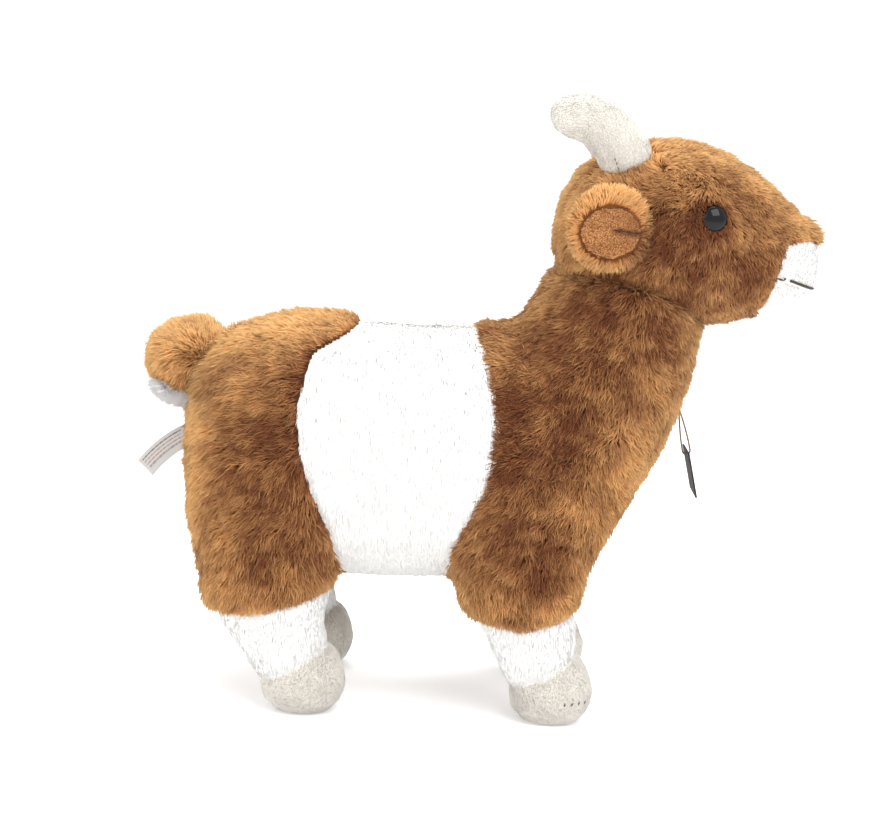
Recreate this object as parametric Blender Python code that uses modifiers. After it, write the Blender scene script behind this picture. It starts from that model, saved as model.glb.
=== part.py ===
"""A standing plush goat: sewn fur panels over stuffing, with velour hooves and horns.

The goat faces +X, its left side is +Y and it stands on z = 0. Lengths in the tables are
millimetres in the goat's own frame; centre_on_origin() puts the origin under the middle of
its box once every piece is made.
"""

import math

import bmesh
import bpy
from mathutils import Matrix, Vector

MM = 0.001
WELD = 0.00001
CRUMB = 0.000001
GAP = 0.3
FILLING_GAP = 1.0
SKIN = 3.0
VELOUR = 1.6
SOLE = 1.8
LEFT = 1
RIGHT = -1
SIDES = {"left": LEFT, "right": RIGHT}
# Reach of the cutting zones, past every piece.
BEHIND = -170.0
AHEAD = 170.0
ASIDE = 120.0
ABOVE = 290.0

BODY_VOXEL = 4.0
BODY_FACES = 1000
HEAD_VOXEL = 3.0
HEAD_FACES = 340
HORN_VOXEL = 1.6
HORN_FACES = 130
TAIL_VOXEL = 2.0
TAIL_FACES = 160
HOLLOW_SMOOTHING = 6
RING_POINTS = 28
OVAL_POINTS = 24
OBLONG = 2.25
ROUND = 2.0
SHARP_ANGLE = 40.0

# Barrel of the body, rump to chest: x, top z, bottom z, half width.
BARREL = (
    (-129, 128, 100, 12),
    (-126, 141, 84, 27),
    (-118, 154, 70, 39),
    (-105, 162, 62, 46),
    (-85, 168, 57, 50),
    (-60, 168, 55, 51),
    (-35, 166, 55, 51),
    (-5, 167, 56, 50),
    (20, 167, 60, 48),
    (38, 163, 67, 45),
    (52, 156, 84, 41),
    (64, 150, 98, 35),
    (73, 138, 112, 24),
)
# Chest and neck, upwards: z, rear x, front x, half width.
NECK = (
    (85, 0, 54, 40),
    (100, 2, 67, 44),
    (120, 2, 78, 45),
    (140, 4, 85, 44),
    (155, 8, 89, 42),
    (168, 14, 91, 39),
    (180, 22, 91, 36),
    (195, 30, 88, 33),
)
# Legs with their socks, upwards: z, rear x, front x, centre y, half width.
HIND_LEG = (
    (6, -91, -70, 38, 13),
    (18, -95, -69, 38, 15),
    (26, -101, -68, 38, 17),
    (35, -107, -67, 38, 19),
    (44, -113, -67, 38, 20),
    (50, -118, -65, 38, 22),
    (70, -121, -62, 36, 22),
    (90, -126, -65, 32, 21),
    (110, -126, -70, 28, 20),
    (130, -120, -75, 24, 18),
)
FRONT_LEG = (
    (6, 18, 42, 38, 13),
    (18, 14, 43, 38, 15),
    (26, 10, 44, 38, 17),
    (35, 6, 43, 38, 19),
    (44, 2, 42, 38, 20),
    (50, -7, 42, 38, 22),
    (70, -10, 46, 38, 22),
    (85, -7, 54, 36, 22),
    (100, -3, 63, 32, 21),
    (120, 0, 70, 28, 20),
)
# Hoof as a small boot, upwards: z, heel and toe from its middle, half width.
HOOF = (
    (-4, -13, 13, 13.5),
    (2, -16, 15, 15.5),
    (8, -18, 18, 17),
    (15, -18, 18.5, 17),
    (21, -17, 17, 16),
    (27, -12, 13, 14),
    (31, -7, 9, 11),
)
LEGS = {"hind": (HIND_LEG, -74.0), "front": (FRONT_LEG, 34.0)}
LEG_Y = 38.0
# Space that holds one leg below the body: y from the middle, and x each way from the leg.
LEG_SPACE_Y = (8.0, 85.0)
LEG_SPACE_X = 40.0

# Head, nape to nose: x, top z, bottom z, half width.
HEAD = (
    (29, 214, 199, 12),
    (32, 226, 191, 23),
    (38, 237, 185, 30),
    (48, 245, 181, 35),
    (60, 249, 178, 37.5),
    (74, 251, 176, 38),
    (88, 250, 175, 36),
    (100, 246, 175, 32),
    (112, 239, 178, 27),
    (122, 231, 181, 22.5),
    (131, 223, 184, 19),
    (138, 216, 187, 16),
    (142, 211, 191, 12),
)

# Seams across the body, each from back to belly: x, z.
REAR_SEAM = (
    (-50, 185), (-55, 167), (-75, 156), (-80, 138), (-79, 122),
    (-74, 102), (-67, 85), (-63, 72), (-61, 58), (-60, 30),
)
FRONT_SEAM = (
    (-6, 185), (-4, 168), (1, 156), (6, 132), (5, 115),
    (2, 101), (-4, 90), (-10, 76), (-13, 64), (-14, 30),
)
# Hems of the brown fur and tops of the hooves, from the back of the leg to its front: x, z.
HIND_HEM = ((-135, 44), (-116, 45), (-97, 46), (-76, 52), (-50, 61))
FRONT_HEM = ((-25, 53), (-7, 50), (2, 46), (19, 44), (34, 48), (60, 58))
HIND_ANKLE = ((-110, 8), (-93, 15), (-79, 21), (-67, 29), (-50, 37))
FRONT_ANKLE = ((-5, 8), (15, 16), (31, 23), (43, 31), (60, 39))
# Panels between the legs: their lowest and highest cuts, and the front one's foremost.
INNER_LEG_LOW_Z = 30.0
CROTCH_Z = 70.0
INNER_LEG_FRONT_X = 75.0

# Muzzle boundary and mouth, as lines in side view: x, z.
MUZZLE_BACK = ((131, 211), (120, 170))
MOUTH = ((116, 199.5), (152, 186.5))
MOUTH_SLOT = 1.8
MOUTH_CENTRE_X = 112.0
MOUTH_HALF_ARC = 47.0
MOUTH_STEPS = 12
MOUTH_REACH = 60.0
THREAD_DEPTH = 0.2
THREAD_RADIUS = 0.6
# Top panel of the head in plan, nape to nose: x, half width.
CROWN = ((20, 9), (45, 16), (75, 16), (105, 11), (130, 8), (160, 7))
CROWN_LOW_Z = 200.0

EYE_AT = (94.0, 222.0)
EYE_RADIUS = 4.8
EYE_DOME = 3.4
SHANK_RADIUS = 1.5
SHANK_LENGTH = 8.0
SHANK_CLEARANCE = 0.1
DOME_STEPS = 4
WASHER_RADIUS = 5.0
WASHER_THICKNESS = 1.2
WASHER_DEPTH = SKIN + GAP + 1.0

# Horn centreline from inside the head to the tip: x, z, half depth, half width.
HORN = (
    (58.5, 228, 12.5, 8.5),
    (56.3, 240, 12.6, 8.8),
    (53.2, 249, 12.4, 8.8),
    (47.5, 256.5, 12, 8.6),
    (39, 260.8, 11, 8.2),
    (30.5, 260.8, 9.6, 7.4),
    (23.5, 259.5, 6.2, 5),
)
HORN_ROOT_Y = 19.0
HORN_TIP_Y = 23.0

EAR_ROOT = (65.0, 38.5, 216.0)
EAR_LENGTH = 36.0
EAR_HEIGHT = 33.0
EAR_THICKNESS = 5.5
EAR_SWEEP = 14.0
LINING_THICKNESS = 1.4
LINING_CENTRE = (48.4, 214.5)
LINING_HALF = (12.5, 10.5)

# Tail from its root on the rump to its tip: x, z, radius.
TAIL = ((-122, 151.4, 5), (-128.5, 153, 10.5), (-135, 150.5, 13.5), (-140.5, 146.5, 13.5), (-146, 142, 8.5))
TAIL_SEAM = ((-200, 132), (-100, 146))

# Care label: its root in the rump seam, and its outer corners from there: x, z.
LABEL_ROOT = (-130.6, 0.0, 113.0)
LABEL_ROOT_HALF = 6.2
LABEL_THICKNESS = 0.7
LABEL_END = ((-23.4, -13.5), (-16.4, -20.5))

STRING_TOP = (86.5, 0.0, 134.0)
STRING_SPREAD = 2.2
STRING_DROP = 18.5
STRING_LEAN = 13.0
STRING_BEND = 1.7
STRING_RADIUS = 0.4
STRING_STEPS = 8
CARD_WIDTH = 26.0
CARD_HEIGHT = 20.0
CARD_THICKNESS = 0.8
CARD_HOLE = 1.3
CARD_HOLE_DOWN = 2.4

BROWN = (0.32, 0.135, 0.045)
WHITE = (0.90, 0.89, 0.86)
GREY = (0.72, 0.67, 0.61)
FILLING = (0.86, 0.86, 0.84)
BLACK = (0.012, 0.012, 0.014)
SATIN = (0.82, 0.82, 0.82)
NATURAL = (0.80, 0.80, 0.78)


# ---------------------------------------------------------------- scene and materials


def clear_scene():
    for obj in list(bpy.data.objects):
        bpy.data.objects.remove(obj, do_unlink=True)


def new_collection(name):
    collection = bpy.data.collections.new(name)
    bpy.context.scene.collection.children.link(collection)
    return collection


def new_material(name, colour, roughness, metallic=0.0):
    material = bpy.data.materials.new(name)
    material.use_nodes = True
    shader = material.node_tree.nodes["Principled BSDF"]
    shader.inputs["Base Color"].default_value = (*colour, 1.0)
    shader.inputs["Roughness"].default_value = roughness
    shader.inputs["Metallic"].default_value = metallic
    material.diffuse_color = (*colour, 1.0)
    return material


# ---------------------------------------------------------------- mesh helpers


def as_object(name, mesh):
    obj = bpy.data.objects.new(name, mesh)
    WORK.objects.link(obj)
    return obj


def from_bmesh(name, bm):
    bmesh.ops.recalc_face_normals(bm, faces=bm.faces)
    mesh = bpy.data.meshes.new(name)
    bm.to_mesh(mesh)
    bm.free()
    return as_object(name, mesh)


def copy_of(obj, name):
    return as_object(name, obj.data.copy())


def evaluated_mesh(obj):
    bpy.context.view_layer.update()
    evaluated = obj.evaluated_get(bpy.context.evaluated_depsgraph_get())
    return bpy.data.meshes.new_from_object(evaluated)


def settle(obj):
    """Makes the shape of an object's modifiers its own mesh."""
    mesh = evaluated_mesh(obj)
    obj.modifiers.clear()
    obj.data = mesh
    return obj


def ring(centre, axis_a, axis_b, half_a, half_b, power=OBLONG):
    """Points round a rounded section, in metres."""
    points = []
    for step in range(RING_POINTS):
        angle = 2 * math.pi * step / RING_POINTS
        c, s = math.cos(angle), math.sin(angle)
        a = half_a * math.copysign(abs(c) ** (2 / power), c)
        b = half_b * math.copysign(abs(s) ** (2 / power), s)
        points.append((Vector(centre) + Vector(axis_a) * a + Vector(axis_b) * b) * MM)
    return points


def loft(name, rings):
    bm = bmesh.new()
    loops = [[bm.verts.new(p) for p in points] for points in rings]
    for lower, upper in zip(loops, loops[1:]):
        for i in range(len(lower)):
            j = (i + 1) % len(lower)
            bm.faces.new((lower[i], lower[j], upper[j], upper[i]))
    bm.faces.new(loops[0])
    bm.faces.new(loops[-1])
    return from_bmesh(name, bm)


def loft_along_x(name, stations):
    rings = []
    for x, top, bottom, half_width in stations:
        centre = (x, 0, (top + bottom) / 2)
        rings.append(ring(centre, (0, 1, 0), (0, 0, 1), half_width, (top - bottom) / 2))
    return loft(name, rings)


def loft_upwards(name, stations, side=LEFT):
    rings = []
    for z, rear, front, y, half_width in stations:
        centre = ((rear + front) / 2, side * y, z)
        rings.append(ring(centre, (1, 0, 0), (0, 1, 0), (front - rear) / 2, half_width))
    return loft(name, rings)


def prism(name, outline, low, high, plane="XZ"):
    """A closed outline carried from low to high across its plane."""
    bm = bmesh.new()
    places = []
    for a, b in outline:
        places.append((a, low, b) if plane == "XZ" else (a, b, low))
    face = bm.faces.new([bm.verts.new(Vector(p) * MM) for p in places])
    grown = bmesh.ops.extrude_face_region(bm, geom=[face])
    shift = Vector((0, high - low, 0)) if plane == "XZ" else Vector((0, 0, high - low))
    moved = [v for v in grown["geom"] if isinstance(v, bmesh.types.BMVert)]
    bmesh.ops.translate(bm, verts=moved, vec=shift * MM)
    return from_bmesh(name, bm)


def block(name, low, high):
    bm = bmesh.new()
    bmesh.ops.create_cube(bm, size=1.0)
    size = Vector(high) - Vector(low)
    bmesh.ops.scale(bm, verts=bm.verts, vec=size * MM)
    bmesh.ops.translate(bm, verts=bm.verts, vec=(Vector(low) + size / 2) * MM)
    return from_bmesh(name, bm)


def side_block(name, low, high, side):
    """A block given for the left half, on either half."""
    if side == RIGHT:
        low, high = (low[0], -high[1], low[2]), (high[0], -low[1], high[2])
    return block(name, low, high)


def cylinder(name, base, direction, radius, length, segments=16):
    bm = bmesh.new()
    bmesh.ops.create_cone(
        bm, cap_ends=True, segments=segments, radius1=radius * MM, radius2=radius * MM,
        depth=length * MM,
    )
    turn = Vector(direction).to_track_quat("Z", "Y").to_matrix().to_4x4()
    middle = Vector(base) + Vector(direction).normalized() * length / 2
    bmesh.ops.transform(bm, verts=bm.verts, matrix=Matrix.Translation(middle * MM) @ turn)
    return from_bmesh(name, bm)


def boolean(target, cutters, operation):
    for cutter in cutters:
        modifier = target.modifiers.new(operation.lower(), "BOOLEAN")
        modifier.operation = operation
        modifier.solver = "EXACT"
        modifier.object = cutter
    return settle(target)


def offset(obj, name, distance):
    """A copy whose surface is moved outwards by a distance."""
    copy = copy_of(obj, name)
    displace = copy.modifiers.new("offset", "DISPLACE")
    displace.mid_level = 0.0
    displace.strength = distance * MM
    return settle(copy)


def soften(obj, voxel, smoothing):
    """Grows one even skin over everything in a mesh, and relaxes it."""
    remesh = obj.modifiers.new("skin", "REMESH")
    remesh.mode = "VOXEL"
    remesh.voxel_size = voxel * MM
    smooth = obj.modifiers.new("soften", "SMOOTH")
    smooth.factor = 0.5
    smooth.iterations = smoothing
    return settle(obj)


def lighten(obj, faces):
    decimate = obj.modifiers.new("lighten", "DECIMATE")
    decimate.ratio = faces / (2 * len(obj.data.polygons))
    return settle(obj)


def layers(name, forms, voxel, faces, smoothing, thickness):
    """Overlapping forms as one soft body: its outside, its hollow and the filling in it."""
    bm = bmesh.new()
    for form in forms:
        bm.from_mesh(form.data)
    outside = soften(from_bmesh(name, bm), voxel, smoothing)
    hollow = offset(outside, name + "_hollow", -thickness)
    soften(hollow, voxel, HOLLOW_SMOOTHING)
    lighten(outside, faces)
    lighten(hollow, faces)
    return outside, hollow, offset(hollow, name + "_core", -FILLING_GAP)


def islands(bm):
    left = set(bm.verts)
    found = []
    while left:
        members = [left.pop()]
        for vert in members:
            for edge in vert.link_edges:
                other = edge.other_vert(vert)
                if other in left:
                    left.remove(other)
                    members.append(other)
        found.append(members)
    return found


def keep_largest(obj):
    """Drops the crumbs that a cut can leave, and welds its needle edges."""
    bm = bmesh.new()
    bm.from_mesh(obj.data)
    bmesh.ops.dissolve_degenerate(bm, edges=bm.edges, dist=CRUMB)
    groups = sorted(islands(bm), key=len)
    for crumbs in groups[:-1]:
        bmesh.ops.delete(bm, geom=crumbs, context="VERTS")
    bmesh.ops.triangulate(bm, faces=bm.faces)
    bm.to_mesh(obj.data)
    bm.free()
    return obj


def make_part(obj, name, material, pivot=None):
    """Hands a finished solid to the goat's collection, with its origin on its pivot."""
    WORK.objects.unlink(obj)
    PARTS.objects.link(obj)
    obj.name = name
    obj.data.name = name
    obj.data.materials.clear()
    obj.data.materials.append(material)
    if pivot is not None:
        place = Vector(pivot) * MM
        obj.data.transform(Matrix.Translation(-place))
        obj.location = place
    obj.data.shade_smooth()
    obj.data.set_sharp_from_angle(angle=math.radians(SHARP_ANGLE))
    return obj


# ---------------------------------------------------------------- cutting zones


def shifted(line, by):
    return [(x + by, z) for x, z in line]


def raised(line, by):
    return [(x, z + by) for x, z in line]


def side_zone(name, outline, side, near=GAP / 2, far=ASIDE):
    """A side-view outline carried over one half of the goat."""
    low, high = (near, far) if side == LEFT else (-far, -near)
    return prism(name, outline, low, high)


def body_outlines():
    """The fur panels of the body in side view, a gap apart."""
    half = GAP / 2
    hind_hem, front_hem = raised(HIND_HEM[:-1], half), raised(FRONT_HEM[1:], half)
    rump = [(BEHIND, ABOVE), (REAR_SEAM[0][0] - GAP, ABOVE), *shifted(REAR_SEAM[:-1], -GAP)]
    rump += [*reversed(hind_hem), (BEHIND, hind_hem[0][1])]
    band = [*shifted(REAR_SEAM, GAP), *shifted(FRONT_SEAM[::-1], -GAP)]
    shoulder = [(AHEAD, ABOVE), (FRONT_SEAM[0][0] + GAP, ABOVE), *shifted(FRONT_SEAM[:-1], GAP)]
    shoulder += [*front_hem, (AHEAD, front_hem[-1][1])]
    return {"rump_panel": rump, "belly_band": band, "shoulder_panel": shoulder}


def leg_outlines(hem, ankle):
    """Sock, hoof and filling of a leg in side view, a gap apart."""
    half = GAP / 2
    rear, front = ankle[0][0], ankle[-1][0]
    sock = raised(hem, -half) + raised(ankle[::-1], half)
    hoof = raised(ankle, -half) + [(front, SOLE + half), (rear, SOLE + half)]
    filling = raised(hem, -half) + [(front, SOLE + GAP), (rear, SOLE + GAP)]
    return sock, hoof, filling


# ---------------------------------------------------------------- body


def body_layers():
    neck = [(z, rear, front, 0, width) for z, rear, front, width in NECK]
    forms = [loft_along_x("barrel_form", BARREL), loft_upwards("neck_form", neck)]
    for stations, middle in LEGS.values():
        boot = [(z, middle + rear, middle + front, LEG_Y, width) for z, rear, front, width in HOOF]
        for side in SIDES.values():
            forms.append(loft_upwards("leg_form", stations, side))
            forms.append(loft_upwards("boot_form", boot, side))
    return layers("body", forms, BODY_VOXEL, BODY_FACES, 5, SKIN)


def inner_leg_zone(name, end, side, grow=0.0):
    """The zone of the panels between the legs."""
    rear, front = BEHIND, REAR_SEAM[-2][0]
    if end == "front":
        rear, front = FRONT_SEAM[-2][0], INNER_LEG_FRONT_X
    near = 0.0 if grow else GAP / 2
    low, high = (rear, near, INNER_LEG_LOW_Z), (front, LEG_Y + grow, CROTCH_Z + grow)
    return side_block(name, low, high, side)


def make_body_panels(shell, head_room):
    outlines = body_outlines()
    for side_name, side in SIDES.items():
        for panel, outline in outlines.items():
            material = FUR_WHITE if panel == "belly_band" else FUR_BROWN
            zone = side_zone("zone", outline, side)
            piece = boolean(copy_of(shell, panel), [zone], "INTERSECT")
            piece = boolean(piece, [head_room], "DIFFERENCE")
            if panel != "belly_band":
                end = "hind" if panel == "rump_panel" else "front"
                inner = boolean(
                    copy_of(piece, "inner"), [inner_leg_zone("zone", end, side)], "INTERSECT"
                )
                inner = keep_largest(inner)
                make_part(inner, f"{end}_inner_leg_{side_name}", FUR_BROWN)
                taken = inner_leg_zone("zone", end, side, GAP)
                piece = boolean(piece, [taken], "DIFFERENCE")
            make_part(keep_largest(piece), f"{panel}_{side_name}", material)


def make_legs(form, shell, core):
    ends = {"hind": (HIND_HEM, HIND_ANKLE), "front": (FRONT_HEM, FRONT_ANKLE)}
    for end, (hem, ankle) in ends.items():
        sock_line, hoof_line, filling_line = leg_outlines(hem, ankle)
        middle = LEGS[end][1]
        low = (middle - LEG_SPACE_X, LEG_SPACE_Y[0], 0)
        high = (middle + LEG_SPACE_X, LEG_SPACE_Y[1], SOLE - GAP / 2)
        for side_name, side in SIDES.items():
            name = f"{end}_{{}}_{side_name}"
            zone = side_zone("zone", sock_line, side, *LEG_SPACE_Y)
            sock = boolean(copy_of(shell, "sock"), [zone], "INTERSECT")
            make_part(keep_largest(sock), name.format("sock"), FUR_WHITE)
            zone = side_zone("zone", hoof_line, side)
            hoof = boolean(copy_of(shell, "hoof"), [zone], "INTERSECT")
            make_part(keep_largest(hoof), name.format("hoof"), VELOUR_GREY)
            zone = side_zone("zone", filling_line, side, *LEG_SPACE_Y)
            filling = boolean(copy_of(core, "filling"), [zone], "INTERSECT")
            make_part(keep_largest(filling), name.format("leg_stuffing"), STUFFING)
            zone = side_block("zone", low, high, side)
            sole = boolean(copy_of(form, "sole"), [zone], "INTERSECT")
            make_part(keep_largest(sole), name.format("sole"), VELOUR_GREY)


def make_torso_stuffing(core, head_room):
    hem = raised(HIND_HEM[1:] + FRONT_HEM, GAP / 2)
    outline = [(BEHIND, ABOVE), (BEHIND, hem[0][1]), *hem, (AHEAD, hem[-1][1]), (AHEAD, ABOVE)]
    torso = boolean(copy_of(core, "torso"), [prism("zone", outline, -ASIDE, ASIDE)], "INTERSECT")
    torso = boolean(torso, [head_room], "DIFFERENCE")
    make_part(keep_largest(torso), "torso_stuffing", STUFFING)


# ---------------------------------------------------------------- head


def mouth_z(x):
    (x0, z0), (x1, z1) = MOUTH
    return z0 + (z1 - z0) * (x - x0) / (x1 - x0)


def muzzle_zone(name, grow=0.0):
    (top_x, top_z), (low_x, low_z) = MUZZLE_BACK
    top = top_z + grow
    outline = [(top_x - grow, top), (AHEAD, top), (AHEAD, low_z), (low_x - grow, low_z)]
    return prism(name, outline, -ASIDE, ASIDE)


def crown_zone(name, grow=0.0):
    """The long panel from the nape over the crown to the nose, in plan."""
    near = [(x, -(half + grow)) for x, half in CROWN]
    far = [(x, half + grow) for x, half in reversed(CROWN)]
    return prism(name, near + far, CROWN_LOW_Z - grow, ABOVE, plane="XY")


def surface_at(form, x, z, side):
    """Place and outward normal of a form's side at a side-view position, in millimetres."""
    start = Vector((x, side * ASIDE, z)) * MM
    hit, place, normal, _ = form.ray_cast(start, Vector((0, -side, 0)))
    if not hit:
        raise ValueError(f"no surface at {x}, {z}")
    return place / MM, normal


def turned(name, profile, steps=14):
    """A solid turned about Z from its outer profile, top to bottom: radius, height."""
    mesh = bpy.data.meshes.new(name)
    points = [(r * MM, 0, z * MM) for r, z in profile]
    edges = [(i, i + 1) for i in range(len(points) - 1)]
    if profile[0][0] > 0:
        edges.append((len(points) - 1, 0))
    mesh.from_pydata(points, edges, [])
    obj = as_object(name, mesh)
    screw = obj.modifiers.new("turn", "SCREW")
    screw.steps = steps
    screw.render_steps = steps
    screw.use_merge_vertices = True
    screw.merge_threshold = WELD
    settle(obj)
    bm = bmesh.new()
    bm.from_mesh(obj.data)
    bmesh.ops.recalc_face_normals(bm, faces=bm.faces)
    bm.to_mesh(obj.data)
    bm.free()
    return obj


def face_along(obj, place, direction):
    """Turns an upright shape to a direction and moves it to a place."""
    turn = Vector(direction).to_track_quat("Z", "Y").to_matrix().to_4x4()
    obj.data.transform(Matrix.Translation(Vector(place) * MM) @ turn)
    return obj


def dome_profile():
    """Glossy dome, its rim and the ribbed shank behind it."""
    profile = [(0.0, EYE_DOME)]
    for step in range(1, DOME_STEPS + 1):
        angle = math.pi / 2 * (1 - step / DOME_STEPS)
        profile.append((EYE_RADIUS * math.cos(angle), EYE_DOME * math.sin(angle)))
    profile += [(SHANK_RADIUS, 0.0), (SHANK_RADIUS, -SHANK_LENGTH), (0.0, -SHANK_LENGTH)]
    return profile


def make_eyes(head):
    """Makes the eyes and washers, and returns what the skin and the filling leave free."""
    skin_cuts, filling_cuts = [], []
    for side_name, side in SIDES.items():
        place, normal = surface_at(head, *EYE_AT, side)
        eye = face_along(turned("eye", dome_profile()), place + normal * GAP, normal)
        make_part(eye, f"eye_{side_name}", EYE_BLACK)
        inner, outer, low = SHANK_RADIUS + SHANK_CLEARANCE, WASHER_RADIUS, -WASHER_THICKNESS
        washer = turned("washer", [(inner, 0), (outer, 0), (outer, low), (inner, low)], 12)
        face_along(washer, place - normal * WASHER_DEPTH, normal)
        make_part(washer, f"eye_washer_{side_name}", PLASTIC)
        bore, pocket = SHANK_RADIUS + GAP, WASHER_RADIUS + GAP
        skin_cuts.append(cylinder("hole", place + normal * SKIN, -normal, bore, 3 * SKIN))
        depth = WASHER_DEPTH + WASHER_THICKNESS + GAP
        filling_cuts.append(cylinder("pocket", place, -normal, pocket, depth))
        filling_cuts.append(cylinder("bore", place, -normal, bore, SHANK_LENGTH + GAP))
    return skin_cuts, filling_cuts


def make_head_panels(shell, skin_cuts):
    muzzle = boolean(copy_of(shell, "muzzle"), [muzzle_zone("zone")], "INTERSECT")
    line = [(x, mouth_z(x)) for x in (MOUTH_CENTRE_X, AHEAD)]
    above = [*raised(line, MOUTH_SLOT / 2), (AHEAD, ABOVE), (MOUTH_CENTRE_X, ABOVE)]
    below = [*raised(line, -MOUTH_SLOT / 2), (AHEAD, 0), (MOUTH_CENTRE_X, 0)]
    for name, outline in (("muzzle_upper", above), ("muzzle_lower", below)):
        zone = prism("zone", outline, -ASIDE, ASIDE)
        piece = boolean(copy_of(muzzle, name), [zone], "INTERSECT")
        make_part(keep_largest(piece), name, FUR_WHITE)
    rest = boolean(copy_of(shell, "rest"), [muzzle_zone("zone", GAP)], "DIFFERENCE")
    crown = boolean(copy_of(rest, "crown"), [crown_zone("zone")], "INTERSECT")
    make_part(keep_largest(crown), "crown_panel", FUR_BROWN)
    cheeks = boolean(rest, [crown_zone("zone", GAP), *skin_cuts], "DIFFERENCE")
    everything = [(BEHIND, 0), (AHEAD, 0), (AHEAD, ABOVE), (BEHIND, ABOVE)]
    for side_name, side in SIDES.items():
        zone = side_zone("zone", everything, side)
        piece = boolean(copy_of(cheeks, "cheek"), [zone], "INTERSECT")
        make_part(keep_largest(piece), f"cheek_panel_{side_name}", FUR_BROWN)


def make_mouth_thread(head):
    """A thread laid in the mouth slot, round the front of the muzzle."""
    start = Vector((MOUTH_CENTRE_X, 0, mouth_z(MOUTH_CENTRE_X)))
    slope = mouth_z(1) - mouth_z(0)
    places = []
    for step in range(MOUTH_STEPS + 1):
        angle = math.radians(MOUTH_HALF_ARC) * (2 * step / MOUTH_STEPS - 1)
        direction = Vector((math.cos(angle), math.sin(angle), slope * math.cos(angle))).normalized()
        origin = (start + direction * MOUTH_REACH) * MM
        _, place, _, _ = head.ray_cast(origin, -direction)
        places.append(place / MM - direction * THREAD_DEPTH)
    return make_cord("mouth_thread", places, THREAD_RADIUS, THREAD_BLACK)


def make_cord(name, places, radius, material, pivot=None):
    """A round cord along a list of places, with flat ends."""
    curve = bpy.data.curves.new(name, "CURVE")
    curve.dimensions = "3D"
    curve.bevel_depth = radius * MM
    curve.bevel_resolution = 2
    curve.use_fill_caps = True
    spline = curve.splines.new("POLY")
    spline.points.add(len(places) - 1)
    for point, place in zip(spline.points, places):
        point.co = (*(Vector(place) * MM), 1.0)
    obj = as_object(name, curve)
    tube = evaluated_mesh(obj)
    bpy.data.objects.remove(obj)
    bm = bmesh.new()
    bm.from_mesh(tube)
    bmesh.ops.remove_doubles(bm, verts=bm.verts, dist=WELD)
    return make_part(from_bmesh(name, bm), name, material, pivot)


# ---------------------------------------------------------------- horns, ears, tail


def horn_layers(side):
    rings = []
    last = len(HORN) - 1
    for k, (x, z, depth, width) in enumerate(HORN):
        before, after = HORN[max(k - 1, 0)], HORN[min(k + 1, last)]
        along = Vector((after[0] - before[0], 0, after[1] - before[1])).normalized()
        across = Vector((along.z, 0, -along.x))
        y = side * (HORN_ROOT_Y + (HORN_TIP_Y - HORN_ROOT_Y) * k / last)
        rings.append(ring((x, y, z), across, (0, 1, 0), depth, width, ROUND))
    return layers("horn", [loft("horn", rings)], HORN_VOXEL, HORN_FACES, 3, VELOUR)


def make_horns(head_room):
    for side_name, side in SIDES.items():
        skin, hollow, core = horn_layers(side)
        skin = boolean(skin, [hollow, head_room], "DIFFERENCE")
        make_part(keep_largest(skin), f"horn_{side_name}", VELOUR_GREY)
        core = boolean(core, [head_room], "DIFFERENCE")
        make_part(keep_largest(core), f"horn_stuffing_{side_name}", STUFFING)


def ear_form(side, grow=0.0):
    """A flat oval pad that hangs back from its root and stands off the head."""
    bm = bmesh.new()
    bmesh.ops.create_uvsphere(bm, u_segments=16, v_segments=8, radius=1.0)
    half = Vector((EAR_LENGTH / 2, EAR_THICKNESS / 2, EAR_HEIGHT / 2)) + Vector((grow,) * 3)
    bmesh.ops.scale(bm, verts=bm.verts, vec=half * MM)
    angle = math.asin(EAR_SWEEP / EAR_LENGTH)
    reach = Vector((-math.cos(angle), side * math.sin(angle), 0)) * EAR_LENGTH / 2
    root = Vector((EAR_ROOT[0], side * EAR_ROOT[1], EAR_ROOT[2]))
    turn = Matrix.Rotation(-side * angle, 4, "Z")
    place = Matrix.Translation((root + reach) * MM)
    bmesh.ops.transform(bm, verts=bm.verts, matrix=place @ turn)
    return from_bmesh("ear_form", bm)


def oval(centre, half):
    """An upright oval outline."""
    turns = [2 * math.pi * step / OVAL_POINTS for step in range(OVAL_POINTS)]
    return [(centre[0] + half[0] * math.cos(t), centre[1] + half[1] * math.sin(t)) for t in turns]


def outward_side(side):
    """The space beyond an ear's middle plane, on its face that looks away from the head."""
    angle = math.asin(EAR_SWEEP / EAR_LENGTH)
    root = Vector((EAR_ROOT[0], side * EAR_ROOT[1], 0))
    normal = Vector((math.sin(angle), side * math.cos(angle), 0))
    along = Vector((math.cos(angle), -side * math.sin(angle), 0))
    near, far = root + normal * GAP, root + normal * ASIDE
    corners = [near - along * ASIDE, near + along * ASIDE, far + along * ASIDE, far - along * ASIDE]
    return prism("zone", [(c.x, c.y) for c in corners], 0, ABOVE, plane="XY")


def make_ears():
    for side_name, side in SIDES.items():
        root = (EAR_ROOT[0], side * EAR_ROOT[1], EAR_ROOT[2])
        make_part(ear_form(side), f"ear_{side_name}", FUR_BROWN, root)
        outer, inner = ear_form(side, GAP + LINING_THICKNESS), ear_form(side, GAP)
        lining = boolean(outer, [inner], "DIFFERENCE")
        zone = side_zone("zone", oval(LINING_CENTRE, LINING_HALF), side)
        lining = boolean(lining, [zone], "INTERSECT")
        lining = boolean(lining, [outward_side(side)], "INTERSECT")
        make_part(keep_largest(lining), f"ear_lining_{side_name}", VELOUR_BROWN, root)


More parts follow.
